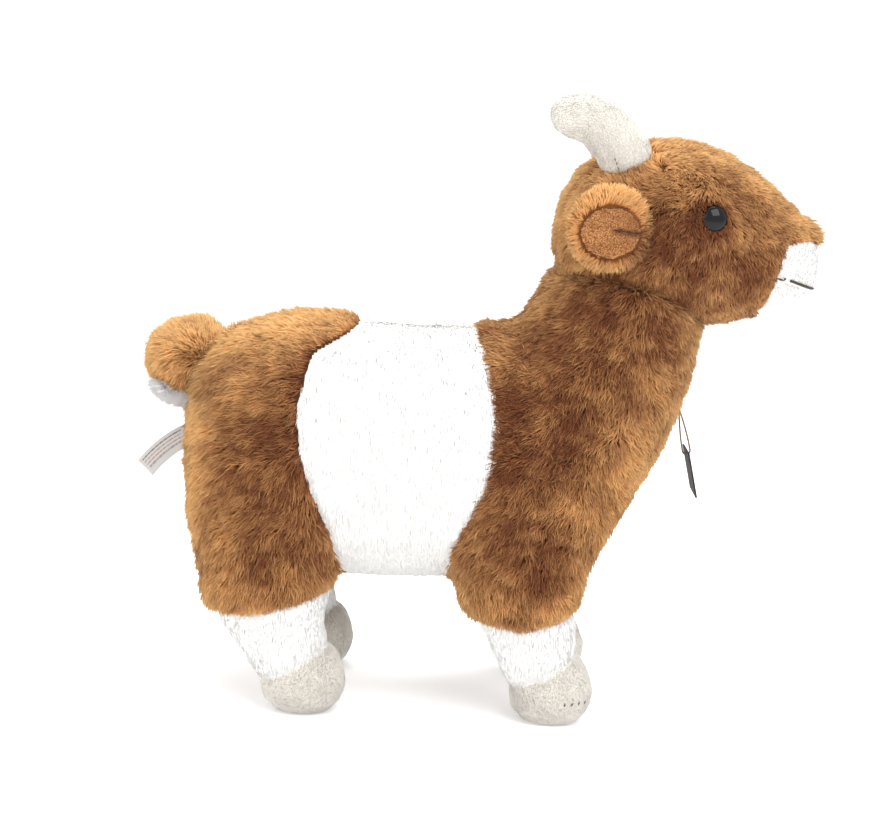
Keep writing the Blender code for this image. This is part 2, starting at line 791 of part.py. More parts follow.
def make_tail():
    """A fluffy stub, brown above and white below, that flops about its root."""
    rings = []
    for k, (x, z, radius) in enumerate(TAIL):
        before, after = TAIL[max(k - 1, 0)], TAIL[min(k + 1, len(TAIL) - 1)]
        along = Vector((after[0] - before[0], 0, after[1] - before[1])).normalized()
        across = Vector((along.z, 0, -along.x))
        rings.append(ring((x, 0, z), across, (0, 1, 0), radius, radius, ROUND))
    shell, hollow, core = layers("tail", [loft("tail", rings)], TAIL_VOXEL, TAIL_FACES, 3, SKIN)
    shell = boolean(shell, [hollow], "DIFFERENCE")
    root = (TAIL[0][0], 0, TAIL[0][1])
    (rear_x, _), (front_x, _) = TAIL_SEAM
    top = raised(TAIL_SEAM, GAP / 2) + [(front_x, ABOVE), (rear_x, ABOVE)]
    low = raised(TAIL_SEAM, -GAP / 2) + [(front_x, 0), (rear_x, 0)]
    halves = {"tail_top": (top, FUR_BROWN), "tail_underside": (low, FUR_WHITE)}
    for name, (outline, material) in halves.items():
        zone = prism("zone", outline, -ASIDE, ASIDE)
        piece = boolean(copy_of(shell, name), [zone], "INTERSECT")
        make_part(keep_largest(piece), name, material, root)
    make_part(core, "tail_stuffing", STUFFING, root)


# ---------------------------------------------------------------- label and hang tag


def make_label():
    """A folded ribbon sewn into the seam of the rump, slanting down and back."""
    x, _, z = LABEL_ROOT
    end = [(x + dx, z + dz) for dx, dz in LABEL_END]
    outline = [(x, z + LABEL_ROOT_HALF), *end, (x, z - LABEL_ROOT_HALF)]
    label = prism("label", outline, -LABEL_THICKNESS / 2, LABEL_THICKNESS / 2)
    make_part(label, "care_label", SATIN_WHITE, LABEL_ROOT)


def tag_frame():
    """Down the hanging string, out from the chest and across, as unit vectors."""
    lean = math.radians(STRING_LEAN)
    down = Vector((math.sin(lean), 0, -math.cos(lean)))
    out = Vector((math.cos(lean), 0, math.sin(lean)))
    return down, out, Vector((0, 1, 0))


def string_route():
    """The loop of string: down, through the card's hole and up again."""
    down, out, across = tag_frame()
    top = Vector(STRING_TOP)
    bend = STRING_DROP + CARD_HOLE_DOWN - STRING_BEND
    strand = []
    for step in range(STRING_STEPS):
        share = step / STRING_STEPS
        spread = STRING_BEND * math.sin(share * math.pi / 2)
        strand.append(down * bend * share + out * spread - across * STRING_SPREAD / 2 * (1 - share))
    turn = []
    for step in range(STRING_STEPS + 1):
        angle = math.pi * step / STRING_STEPS
        turn.append(down * (bend + STRING_BEND * math.sin(angle)) + out * STRING_BEND * math.cos(angle))
    back = [down * p.dot(down) - out * p.dot(out) - across * p.dot(across) for p in reversed(strand)]
    return [top + place for place in strand + turn + back]


def make_tag():
    make_cord("tag_string", string_route(), STRING_RADIUS, THREAD_BLACK, STRING_TOP)
    down, out, across = tag_frame()
    hole = Vector(STRING_TOP) + down * (STRING_DROP + CARD_HOLE_DOWN)
    card = block(
        "card",
        (-CARD_WIDTH / 2, -CARD_THICKNESS / 2, -CARD_HEIGHT),
        (CARD_WIDTH / 2, CARD_THICKNESS / 2, 0),
    )
    base = (0, -CARD_THICKNESS, -CARD_HOLE_DOWN)
    bore = cylinder("bore", base, (0, 1, 0), CARD_HOLE, 2 * CARD_THICKNESS, 12)
    card = boolean(card, [bore], "DIFFERENCE")
    turn = Matrix((-across, out, -down)).transposed().to_4x4()
    top = Vector(STRING_TOP) + down * STRING_DROP
    card.data.transform(Matrix.Translation(top * MM) @ turn)
    make_part(keep_largest(card), "hang_tag", CARD, hole)


# ---------------------------------------------------------------- assembly


def make_body(head_room):
    form, hollow, core = body_layers()
    shell = boolean(copy_of(form, "body_shell"), [hollow], "DIFFERENCE")
    make_body_panels(shell, head_room)
    make_legs(form, shell, core)
    make_torso_stuffing(core, head_room)


def make_head(head, hollow, core):
    shell = boolean(copy_of(head, "head_shell"), [hollow], "DIFFERENCE")
    skin_cuts, filling_cuts = make_eyes(head)
    make_head_panels(shell, skin_cuts)
    make_mouth_thread(head)
    core = boolean(core, filling_cuts, "DIFFERENCE")
    make_part(keep_largest(core), "head_stuffing", STUFFING)


def centre_on_origin():
    """Puts the origin under the middle of the goat's box, with the soles on z = 0."""
    bpy.context.view_layer.update()
    corners = [o.matrix_world @ Vector(c) for o in PARTS.objects for c in o.bound_box]
    low = Vector(map(min, *corners))
    high = Vector(map(max, *corners))
    shift = Vector(((low.x + high.x) / 2, (low.y + high.y) / 2, low.z))
    for obj in PARTS.objects:
        obj.location -= shift


def remove_work():
    for obj in list(WORK.objects):
        bpy.data.objects.remove(obj, do_unlink=True)
    bpy.data.collections.remove(WORK)


clear_scene()
PARTS = new_collection("plush_goat")
WORK = new_collection("working_forms")
FUR_BROWN = new_material("brown_fur", BROWN, 0.9)
FUR_WHITE = new_material("white_fur", WHITE, 0.9)
VELOUR_GREY = new_material("grey_velour", GREY, 0.85)
VELOUR_BROWN = new_material("brown_velour", BROWN, 0.85)
STUFFING = new_material("polyester_filling", FILLING, 0.95)
EYE_BLACK = new_material("eye_plastic", BLACK, 0.08)
PLASTIC = new_material("washer_plastic", NATURAL, 0.45)
THREAD_BLACK = new_material("dark_thread", BLACK, 0.7)
SATIN_WHITE = new_material("satin_label", SATIN, 0.4)
CARD = new_material("card", NATURAL, 0.5)

head_layers = layers("head", [loft_along_x("head", HEAD)], HEAD_VOXEL, HEAD_FACES, 4, SKIN)
head_space = offset(head_layers[0], "head_space", GAP)
make_body(head_space)
make_head(*head_layers)
make_horns(head_space)
make_ears()
make_tail()
make_label()
make_tag()
remove_work()
centre_on_origin()
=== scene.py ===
"""Looks of the standing plush goat: furred panels, velour horns and hooves, glossy eyes, labels."""

import math

import bmesh
import bpy
import numpy as np
from mathutils import Matrix, Vector, noise
from mathutils.bvhtree import BVHTree
from mathutils.kdtree import KDTree


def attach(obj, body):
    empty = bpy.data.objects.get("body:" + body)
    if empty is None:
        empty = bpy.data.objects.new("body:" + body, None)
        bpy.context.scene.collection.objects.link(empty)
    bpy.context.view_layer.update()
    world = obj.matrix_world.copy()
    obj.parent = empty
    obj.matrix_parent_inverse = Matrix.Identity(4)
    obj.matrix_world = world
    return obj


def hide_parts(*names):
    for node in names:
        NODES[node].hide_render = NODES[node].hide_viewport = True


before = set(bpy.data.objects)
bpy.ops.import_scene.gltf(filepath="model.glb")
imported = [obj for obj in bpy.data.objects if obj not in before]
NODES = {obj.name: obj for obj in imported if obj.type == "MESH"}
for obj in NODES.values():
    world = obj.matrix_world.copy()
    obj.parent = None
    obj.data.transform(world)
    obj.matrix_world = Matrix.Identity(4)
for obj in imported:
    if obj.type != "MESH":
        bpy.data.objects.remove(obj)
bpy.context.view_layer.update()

MM = 0.001
SIDES = {"left": 1, "right": -1}
# Where the goat's own frame, in which side-view places are given in mm, starts in the row frame.
OWN_FRAME = np.array((6.12, 0.0, 0.0))


def new_object(name, data):
    obj = bpy.data.objects.new(name, data)
    bpy.context.scene.collection.objects.link(obj)
    return obj


def principled(name, colour, roughness):
    material = bpy.data.materials.new(name)
    material.use_nodes = True
    shader = material.node_tree.nodes["Principled BSDF"]
    shader.inputs["Base Color"].default_value = (*colour, 1.0)
    shader.inputs["Roughness"].default_value = roughness
    return material, shader


# ---------------------------------------------------------------- camera, light and floor

CAMERA_PLACE = (-0.0115, -1.0, 0.287)
CAMERA_PITCH = 9.0
CAMERA_ROLL = 2.6
CAMERA_LENS = 91.9
CAMERA_NEAR = 0.05


def make_camera():
    """A long lens at the goat's right side, a little above its back and a little rolled."""
    camera = new_object("camera", bpy.data.cameras.new("camera"))
    pitch, roll = math.radians(CAMERA_PITCH), math.radians(CAMERA_ROLL)
    forward = Vector((0, math.cos(pitch), -math.sin(pitch)))
    level = Vector((1, 0, 0))
    upright = level.cross(forward)
    right = level * math.cos(roll) + upright * math.sin(roll)
    up = upright * math.cos(roll) - level * math.sin(roll)
    turn = Matrix((right, up, -forward)).transposed().to_4x4()
    camera.matrix_world = Matrix.Translation(CAMERA_PLACE) @ turn
    camera.data.lens = CAMERA_LENS
    camera.data.clip_start = CAMERA_NEAR
    bpy.context.scene.camera = camera


ROOM_LIGHT = 1.1
# Soft boxes, all aimed at the lit place: place (m), side (m), power (W).
SOFT_BOXES = {
    "key": ((0.45, -0.75, 1.05), 0.85, 9.0),
    "fill": ((-0.9, -0.6, 0.55), 0.5, 2.0),
    "top": ((-0.05, 0.25, 1.25), 0.7, 9.0),
}
LIT_PLACE = Vector((0.02, 0, 0.13))


def make_light():
    """A white room and three soft boxes."""
    scene = bpy.context.scene
    world = bpy.data.worlds.new("studio")
    scene.world = world
    world.use_nodes = True
    background = world.node_tree.nodes["Background"]
    background.inputs["Color"].default_value = (1.0, 1.0, 1.0, 1.0)
    background.inputs["Strength"].default_value = ROOM_LIGHT
    for name, (place, size, power) in SOFT_BOXES.items():
        lamp = bpy.data.lights.new(name, "AREA")
        lamp.size = size
        lamp.energy = power
        box = new_object(name, lamp)
        box.location = place
        box.rotation_euler = (LIT_PLACE - box.location).to_track_quat("-Z", "Y").to_euler()
    scene.view_settings.view_transform = "Standard"
    scene.view_settings.look = "None"


FLOOR_HALF = 6.0
FLOOR_WHITE = (0.95, 0.95, 0.95)
FLOOR_GLOW = 0.2


def make_floor():
    """A wide white table, lit a little from below."""
    corners = [(x * FLOOR_HALF, y * FLOOR_HALF, 0) for x, y in ((-1, -1), (1, -1), (1, 1), (-1, 1))]
    mesh = bpy.data.meshes.new("floor")
    mesh.from_pydata(corners, [], [(0, 1, 2, 3)])
    material, shader = principled("floor", FLOOR_WHITE, 0.9)
    shader.inputs["Emission Color"].default_value = (1.0, 1.0, 1.0, 1.0)
    shader.inputs["Emission Strength"].default_value = FLOOR_GLOW
    mesh.materials.append(material)
    new_object("floor", mesh)


# ---------------------------------------------------------------- materials

# The map that holds, at each point of a tuft, how light the tuft is and how far along it the point is.
STRAND_MAP = "OFBake"
FUR_SPECULAR = 0.2
SHEEN_ROUGHNESS = 0.5


def ramp(tree, stops):
    node = tree.nodes.new("ShaderNodeValToRGB")
    elements = node.color_ramp.elements
    while len(elements) < len(stops):
        elements.new(0.5)
    for element, (position, colour) in zip(elements, stops):
        element.position = position
        element.color = (*colour, 1.0)
    return node


def fur_material(name, dark, light, roughness, sheen, sheen_tint=(1, 1, 1)):
    """Colour along a tuft, root to tip, for a dark and a light tuft; the strand map says which."""
    material, shader = principled(name, light[-1][1], roughness)
    tree = material.node_tree
    strand = tree.nodes.new("ShaderNodeUVMap")
    strand.uv_map = STRAND_MAP
    split = tree.nodes.new("ShaderNodeSeparateXYZ")
    tree.links.new(strand.outputs["UV"], split.inputs[0])
    dark_ramp = ramp(tree, dark)
    light_ramp = ramp(tree, light)
    tree.links.new(split.outputs["Y"], dark_ramp.inputs[0])
    tree.links.new(split.outputs["Y"], light_ramp.inputs[0])
    mix = tree.nodes.new("ShaderNodeMix")
    mix.data_type = "RGBA"
    tree.links.new(split.outputs["X"], mix.inputs["Factor"])
    tree.links.new(dark_ramp.outputs["Color"], mix.inputs["A"])
    tree.links.new(light_ramp.outputs["Color"], mix.inputs["B"])
    tree.links.new(mix.outputs["Result"], shader.inputs["Base Color"])
    shader.inputs["Specular IOR Level"].default_value = FUR_SPECULAR
    shader.inputs["Sheen Weight"].default_value = sheen
    shader.inputs["Sheen Roughness"].default_value = SHEEN_ROUGHNESS
    shader.inputs["Sheen Tint"].default_value = (*sheen_tint, 1.0)
    return material


GRAIN_DETAIL = 6.0
GRAIN_RELIEF = 0.0004


def noisy_material(name, low, high, scale, roughness, bump=0.0):
    """A surface whose colour wanders between two tones with a fine grain."""
    material, shader = principled(name, high, roughness)
    tree = material.node_tree
    place = tree.nodes.new("ShaderNodeTexCoord")
    grain = tree.nodes.new("ShaderNodeTexNoise")
    grain.inputs["Scale"].default_value = scale
    grain.inputs["Detail"].default_value = GRAIN_DETAIL
    tree.links.new(place.outputs["Object"], grain.inputs["Vector"])
    colour = ramp(tree, ((0.3, low), (0.7, high)))
    tree.links.new(grain.outputs["Fac"], colour.inputs[0])
    tree.links.new(colour.outputs["Color"], shader.inputs["Base Color"])
    if bump:
        relief = tree.nodes.new("ShaderNodeBump")
        relief.inputs["Strength"].default_value = bump
        relief.inputs["Distance"].default_value = GRAIN_RELIEF
        tree.links.new(grain.outputs["Fac"], relief.inputs["Height"])
        tree.links.new(relief.outputs["Normal"], shader.inputs["Normal"])
    return material


# ---------------------------------------------------------------- skins from the frame

WELD = 0.000001


def settle(obj):
    """Makes the shape that an object's modifiers give it its own mesh."""
    bpy.context.view_layer.update()
    evaluated = obj.evaluated_get(bpy.context.evaluated_depsgraph_get())
    mesh = bpy.data.meshes.new_from_object(evaluated)
    obj.modifiers.clear()
    obj.data = mesh
    return obj


def joined(names):
    """The meshes of several CAD nodes as one."""
    bm = bmesh.new()
    for name in names:
        bm.from_mesh(NODES[name].data)
    bmesh.ops.remove_doubles(bm, verts=bm.verts, dist=WELD)
    return bm


def outer_island(bm):
    """Drops every island of a mesh but the tallest."""
    left = set(bm.verts)
    islands = []
    while left:
        members = [left.pop()]
        for vert in members:
            for edge in vert.link_edges:
                other = edge.other_vert(vert)
                if other in left:
                    left.remove(other)
                    members.append(other)
        islands.append(members)
    islands.sort(key=lambda members: max(v.co.z for v in members) - min(v.co.z for v in members))
    for members in islands[:-1]:
        bmesh.ops.delete(bm, geom=members, context="VERTS")


def smooth_skin(name, nodes, voxel, smoothing):
    """One even outer skin round several CAD nodes, from voxels of a size in mm."""
    mesh = bpy.data.meshes.new(name)
    bm = joined(nodes)
    bm.to_mesh(mesh)
    bm.free()
    skin = new_object(name, mesh)
    remesh = skin.modifiers.new("skin", "REMESH")
    remesh.mode = "VOXEL"
    remesh.voxel_size = voxel * MM
    settle(skin)
    bm = bmesh.new()
    bm.from_mesh(skin.data)
    outer_island(bm)
    bm.to_mesh(skin.data)
    bm.free()
    smooth = skin.modifiers.new("soften", "SMOOTH")
    smooth.factor = 0.5
    smooth.iterations = smoothing
    subdivision = skin.modifiers.new("refine", "SUBSURF")
    subdivision.levels = 1
    subdivision.render_levels = 1
    settle(skin)
    skin.data.shade_smooth()
    return skin


def tree_of(names):
    """A search tree over the surfaces of several CAD nodes."""
    bm = joined(names)
    bmesh.ops.triangulate(bm, faces=bm.faces)
    tree = BVHTree.FromBMesh(bm)
    bm.free()
    return tree


def vertex_arrays(mesh):
    """The places and the normals of a mesh's vertices."""
    co = np.empty(len(mesh.vertices) * 3)
    no = np.empty(len(mesh.vertices) * 3)
    mesh.vertices.foreach_get("co", co)
    mesh.vertices.foreach_get("normal", no)
    return co.reshape(-1, 3), no.reshape(-1, 3)


# How far from a point another panel is looked for, in metres.
SEAM_SEARCH = 0.014


def seam_distances(points, panels):
    """How far each point is from the nearest panel that is not its own."""
    trees = [tree_of([name]) for name in panels]
    gap = np.full(len(points), SEAM_SEARCH)
    if len(panels) < 2:
        return gap
    for i, place in enumerate(points):
        found = [tree.find_nearest(place, SEAM_SEARCH)[3] for tree in trees]
        gap[i] = sorted(SEAM_SEARCH if distance is None else distance for distance in found)[1]
    return gap


# ---------------------------------------------------------------- tufts

NOISE_STEP = Vector((7.13, 3.71, 5.37))
NOISE_SPREAD = 1.6
# Without a seed the noise would start from the clock, and the fur would differ from run to run.
NOISE_SEED = 11
noise.seed_set(NOISE_SEED)


def smooth_noise(points, scale, seed):
    """A smooth random vector, about -1 to 1, at each point."""
    shift = NOISE_STEP * seed
    return np.array([noise.noise_vector(Vector(p) / scale + shift) for p in points]) * NOISE_SPREAD


def unit(vectors):
    return vectors / np.maximum(np.linalg.norm(vectors, axis=1, keepdims=True), 1e-9)


def tangent(vectors, normals):
    return vectors - normals * np.sum(vectors * normals, axis=1, keepdims=True)


def in_own_frame(points):
    """Places in mm in the goat's own frame."""
    return points / MM - OWN_FRAME


def nearness(own, guide, softness, power):
    """The weight of a guide's side-view place at each point: softness is in mm2."""
    x, z = guide
    return 1.0 / ((own[:, 0] - x) ** 2 + (own[:, 2] - z) ** 2 + softness) ** power


def field(points, guides):
    """A number given at a few side-view places, blended by distance."""
    own = in_own_frame(points)
    total = np.zeros(len(points))
    weights = np.zeros(len(points))
    for guide, value in guides:
        weight = nearness(own, guide, 30.0, 2)
        total += value * weight
        weights += weight
    return total / weights


def combed(points, normals, guides):
    """The lie of the pile: directions given at a few side-view places, blended by distance."""
    own = in_own_frame(points)
    total = np.zeros_like(points)
    for guide, angle, aside in guides:
        turn = math.radians(angle)
        weight = nearness(own, guide, 60.0, 1.5)
        lie = np.zeros_like(points)
        lie[:, 0] = math.cos(turn)
        lie[:, 2] = math.sin(turn)
        lie[:, 1] = np.sign(own[:, 1]) * aside
        total += lie * weight[:, None]
    return unit(tangent(unit(total), normals))


def scatter(skin, density, rng):
    """Even random places on a skin: position, normal, and vertex shares to blend by."""
    mesh = skin.data
    mesh.calc_loop_triangles()
    corners = np.empty(len(mesh.loop_triangles) * 3, int)
    mesh.loop_triangles.foreach_get("vertices", corners)
    corners = corners.reshape(-1, 3)
    co, no = vertex_arrays(mesh)
    a, b, c = (co[corners[:, k]] for k in range(3))
    area = np.linalg.norm(np.cross(b - a, c - a), axis=1) / 2
    count = np.floor(area * density / MM**2 + rng.random(len(area))).astype(int)
    pick = np.repeat(np.arange(len(area)), count)
    r, s = np.sqrt(rng.random(len(pick))), rng.random(len(pick))
    share = np.stack((1 - r, r * (1 - s), r * s), axis=1)
    chosen = corners[pick]
    place = np.einsum("ij,ijk->ik", share, co[chosen])
    normal = unit(np.einsum("ij,ijk->ik", share, no[chosen]))
    return place, normal, chosen, share


def nearest_clump(places, spacing, rng):
    """Which of a set of scattered clump middles each tuft leans to."""
    count = max(1, int(len(places) / spacing))
    chosen = rng.choice(len(places), count, replace=False)
    tree = KDTree(count)
    for k, index in enumerate(chosen):
        tree.insert(places[index], k)
    tree.balance()
    return chosen[[tree.find(p)[1] for p in places]]


TUFT_POINTS = 4
TUFT_FACES = np.array(((0, 1, 2), (1, 3, 2), (0, 2, 3), (0, 3, 1)))
# Where a tuft bends, as a share of its length, and how its halves stand against the whole.
BEND_SHARE = 0.42
ROOT_HALF_RISE = 0.35
TIP_HALF_DROP = 0.2
ROLL_SPREAD = 1.8
ROOT_SINK = 0.5 * MM


def tuft_geometry(root, normal, lie, length, rise, width, rng):
    """Bent blades, four points each: a root, two sides at the bend, which stands proud, and a tip."""
    low = unit(normal * (rise + ROOT_HALF_RISE)[:, None] + lie)
    high = unit(normal * (rise - TIP_HALF_DROP)[:, None] + lie)
    middle = root + low * (length * BEND_SHARE)[:, None]
    tip = middle + high * (length * (1 - BEND_SHARE))[:, None]
    axis = unit(low + high)
    side = unit(np.cross(axis, normal))
    front = np.cross(side, axis)
    roll = (rng.random(len(root)) - 0.5) * ROLL_SPREAD
    flat = (side * np.cos(roll)[:, None] + front * np.sin(roll)[:, None]) * width[:, None]
    sunk = root - normal * ROOT_SINK
    return np.stack((sunk, middle + flat, middle - flat, tip), axis=1)


def facing_out(points):
    """Swaps the two sides of the blades that would otherwise be inside out."""
    a, b, c = (points[:, k] - points[:, 0] for k in (1, 2, 3))
    wrong = np.einsum("ij,ij->i", np.cross(a, b), c) > 0
    points[wrong] = points[wrong][:, (0, 2, 1, 3)]


# How far along the strand's colours a tuft's bend and tip are, and the skin past the tufts' roots.
BEND_SHADE = 0.45
TIP_SHADE = 0.97
SKIN_SHADE = 0.02
SKIN_TONE = 0.3
# How far apart in tone the two sides of a tuft are.
SIDE_TONE = 0.012
TABLE_GAP = 0.2 * MM


def tuft_mesh(name, points, tone, root_shade, pile_normals, soften, skin_points, skin_faces):
    """One mesh of all the tufts, over the piece of skin that they grow on.
    Their shading leans from their own shape to the skin's by the soften share."""
    count = len(points)
    co = points.reshape(-1, 3).copy()
    co[:, 2] = np.maximum(co[:, 2], TABLE_GAP)
    faces = (TUFT_FACES[None] + TUFT_POINTS * np.arange(count)[:, None, None]).reshape(-1, 3)
    along = np.tile((root_shade, BEND_SHADE, BEND_SHADE, TIP_SHADE), count)
    spread = np.tile((0.0, -SIDE_TONE, SIDE_TONE, 0.0), count)
    across = np.clip(np.repeat(tone, TUFT_POINTS), 0.02, 0.98) + spread
    loops = faces.ravel()
    uv = np.stack((across[loops], along[loops]), axis=1)
    skin_loops = np.concatenate(skin_faces) + len(co)
    sizes = np.concatenate((np.full(len(faces), 3), [len(f) for f in skin_faces]))
    loops = np.concatenate((loops, skin_loops))
    skin_uv = np.tile((SKIN_TONE, root_shade + SKIN_SHADE), (len(skin_loops), 1))
    uv = np.concatenate((uv, skin_uv))
    co = np.concatenate((co, skin_points))
    mesh = bpy.data.meshes.new(name)
    mesh.vertices.add(len(co))
    mesh.vertices.foreach_set("co", co.astype(np.float32).ravel())
    mesh.loops.add(len(loops))
    mesh.loops.foreach_set("vertex_index", loops.astype(np.int32))
    mesh.polygons.add(len(sizes))
    starts = np.concatenate(((0,), np.cumsum(sizes)[:-1]))
    mesh.polygons.foreach_set("loop_start", starts.astype(np.int32))
    mesh.uv_layers.new(name=STRAND_MAP)
    mesh.uv_layers[0].data.foreach_set("uv", uv.astype(np.float32).ravel())
    mesh.update(calc_edges=True)
    mesh.shade_smooth()
    _, shading = vertex_arrays(mesh)
    tufts = TUFT_POINTS * count
    leaned = soften * np.repeat(pile_normals, TUFT_POINTS, axis=0) + (1 - soften) * shading[:tufts]
    shading[:tufts] = unit(leaned)
    mesh.normals_split_custom_set_from_vertices(shading.tolist())
    return mesh


# ---------------------------------------------------------------- the lie of the pile

# Each guide: side-view place (mm), direction of the pile in the side view (degrees), push outwards.
RUMP_LIE = (
    ((-70, 170), 178, 0.3), ((-100, 167), 178, 0.3), ((-114, 162), 160, 1.3), ((-120, 148), 196, 0.5),
    ((-100, 135), 188, 0.0), ((-78, 130), 192, 0.0), ((-125, 115), 200, 0.3), ((-75, 100), 262, 0.0),
    ((-95, 90), 215, 0.0), ((-122, 80), 225, 0.2), ((-110, 52), 238, 0.2), ((-92, 50), 262, 0.3),
    ((-70, 58), 292, 0.1),
)
SHOULDER_LIE = (
    ((8, 165), 200, 0.3), ((8, 130), 184, 0.0), ((22, 182), 165, 0.3), ((40, 135), 240, 0.0),
    ((30, 110), 225, 0.0), ((85, 150), 292, 0.0), ((78, 122), 305, 0.0), ((0, 95), 215, 0.0),
    ((60, 100), 285, 0.0), ((15, 75), 250, 0.0), ((10, 50), 258, 0.2), ((38, 55), 292, 0.2),
    ((80, 175), 285, 0.2), ((50, 178), 230, 0.2),
)
BELLY_LIE = (((-35, 168), 262, 0.9), ((-35, 150), 264, 0.1), ((-35, 110), 266, 0.0), ((-35, 60), 270, -0.5))
HEAD_LIE = (
    ((80, 250), 8, 0.3), ((110, 240), -15, 0.3), ((138, 216), -30, 0.0), ((60, 240), 110, 0.3),
    ((35, 225), 185, 0.0), ((45, 195), 230, 0.0), ((80, 205), 245, 0.0), ((80, 230), 225, 0.0),
    ((110, 220), 280, 0.0), ((118, 200), 292, 0.0), ((100, 180), 285, 0.0), ((70, 182), 262, 0.0),
)
SOCK_LIE = (((-90, 40), 262, 0.0), ((20, 40), 266, 0.0))
MUZZLE_LIE = (((132, 200), 235, 0.0), ((132, 187), 300, 0.0))
HOOF_LIE = (((-75, 15), 250, 0.0), ((35, 15), 290, 0.0), ((-75, 5), 200, 0.0), ((35, 5), 340, 0.0))
TAIL_LIE = (
    ((-123, 163), 112, 0.2), ((-136, 165), 140, 0.2), ((-150, 150), 195, 0.2), ((-146, 140), 225, 0.2),
    ((-130, 136), 250, 0.5),
)
UNDERTAIL_LIE = (((-132, 136), 242, 0.4), ((-140, 136), 225, 0.4), ((-146, 140), 205, 0.4))
HORN_LIE = (((30, 265), 200, 0.0), ((55, 255), 130, 0.0), ((53, 240), 110, 0.0))
EAR_LIE = (((48, 214), 180, 0.0),)

# How light the pile is at side-view places, 0 to 1. Some of the low tones next to the seams of the white
# belly band are painted shade.
RUMP_TONE = (
    ((-62, 167), 0.70), ((-85, 166), 0.92), ((-108, 162), 0.85), ((-119, 150), 0.42),
    ((-126, 125), 0.80), ((-124, 100), 0.80), ((-92, 142), 0.34), ((-80, 122), 0.10),
    ((-72, 95), 0.08), ((-104, 100), 0.24), ((-92, 72), 0.22), ((-122, 78), 0.72), ((-116, 50), 0.74),
    ((-95, 52), 0.62), ((-74, 58), 0.46), ((-66, 72), 0.22), ((-80, 150), 0.30), ((-104, 148), 0.55),
    ((-112, 75), 0.42), ((-98, 120), 0.20),
)
SHOULDER_TONE = (
    ((8, 162), 0.30), ((10, 140), 0.10), ((12, 110), 0.06), ((18, 90), 0.12), ((24, 183), 0.36),
    ((40, 172), 0.14), ((45, 150), 0.18), ((34, 120), 0.12), ((84, 150), 0.44), ((78, 128), 0.62),
    ((62, 104), 0.66), ((54, 84), 0.60), ((0, 74), 0.30), ((0, 55), 0.66), ((18, 52), 0.50),
    ((38, 54), 0.66), ((70, 172), 0.22), ((28, 75), 0.18), ((58, 125), 0.34), ((46, 98), 0.50),
    ((20, 64), 0.26), ((62, 118), 0.62), ((90, 165), 0.45),
)
# The guide at (94, 224), 0.02, is painted shade in the pit round the eye.
HEAD_TONE = (
    ((70, 250), 0.76), ((92, 250), 0.74), ((112, 240), 0.66), ((136, 216), 0.66), ((85, 236), 0.50),
    ((94, 224), 0.02), ((72, 218), 0.16), ((70, 198), 0.18), ((98, 200), 0.16), ((118, 184), 0.34),
    ((120, 214), 0.34), ((33, 228), 0.76), ((33, 205), 0.56), ((45, 190), 0.30), ((60, 240), 0.50),
    ((70, 180), 0.20), ((84, 208), 0.16), ((104, 222), 0.30), ((104, 182), 0.30), ((48, 242), 0.60),
)
PALE_TONE = (((0, 100), 0.55),)
# Painted light: the tail's underside, which sits in shade beneath the tail, takes the lightest white tone.
PAINTED_LIGHT_TONE = (((0, 100), 1.0),)
TAIL_TONE = (
    ((-122, 164), 0.95), ((-130, 160), 0.85), ((-139, 166), 1.0), ((-148, 156), 1.0), ((-150, 145), 0.95),
    ((-127, 139), 0.05), ((-128, 150), 0.66), ((-138, 150), 0.80),
)
LINING_LIE = (((48, 214), 200, 0.0),)
LINING_TONE = (((48, 222), 0.85), ((48, 206), 0.60), ((60, 213), 0.30), ((38, 214), 0.75))
# The guide at (64, 208), 0.15, is painted shade in the crease where the ear meets the head.
EAR_TONE = (((48, 232), 0.95), ((48, 200), 0.85), ((34, 214), 0.95), ((60, 226), 0.80), ((64, 208), 0.15))

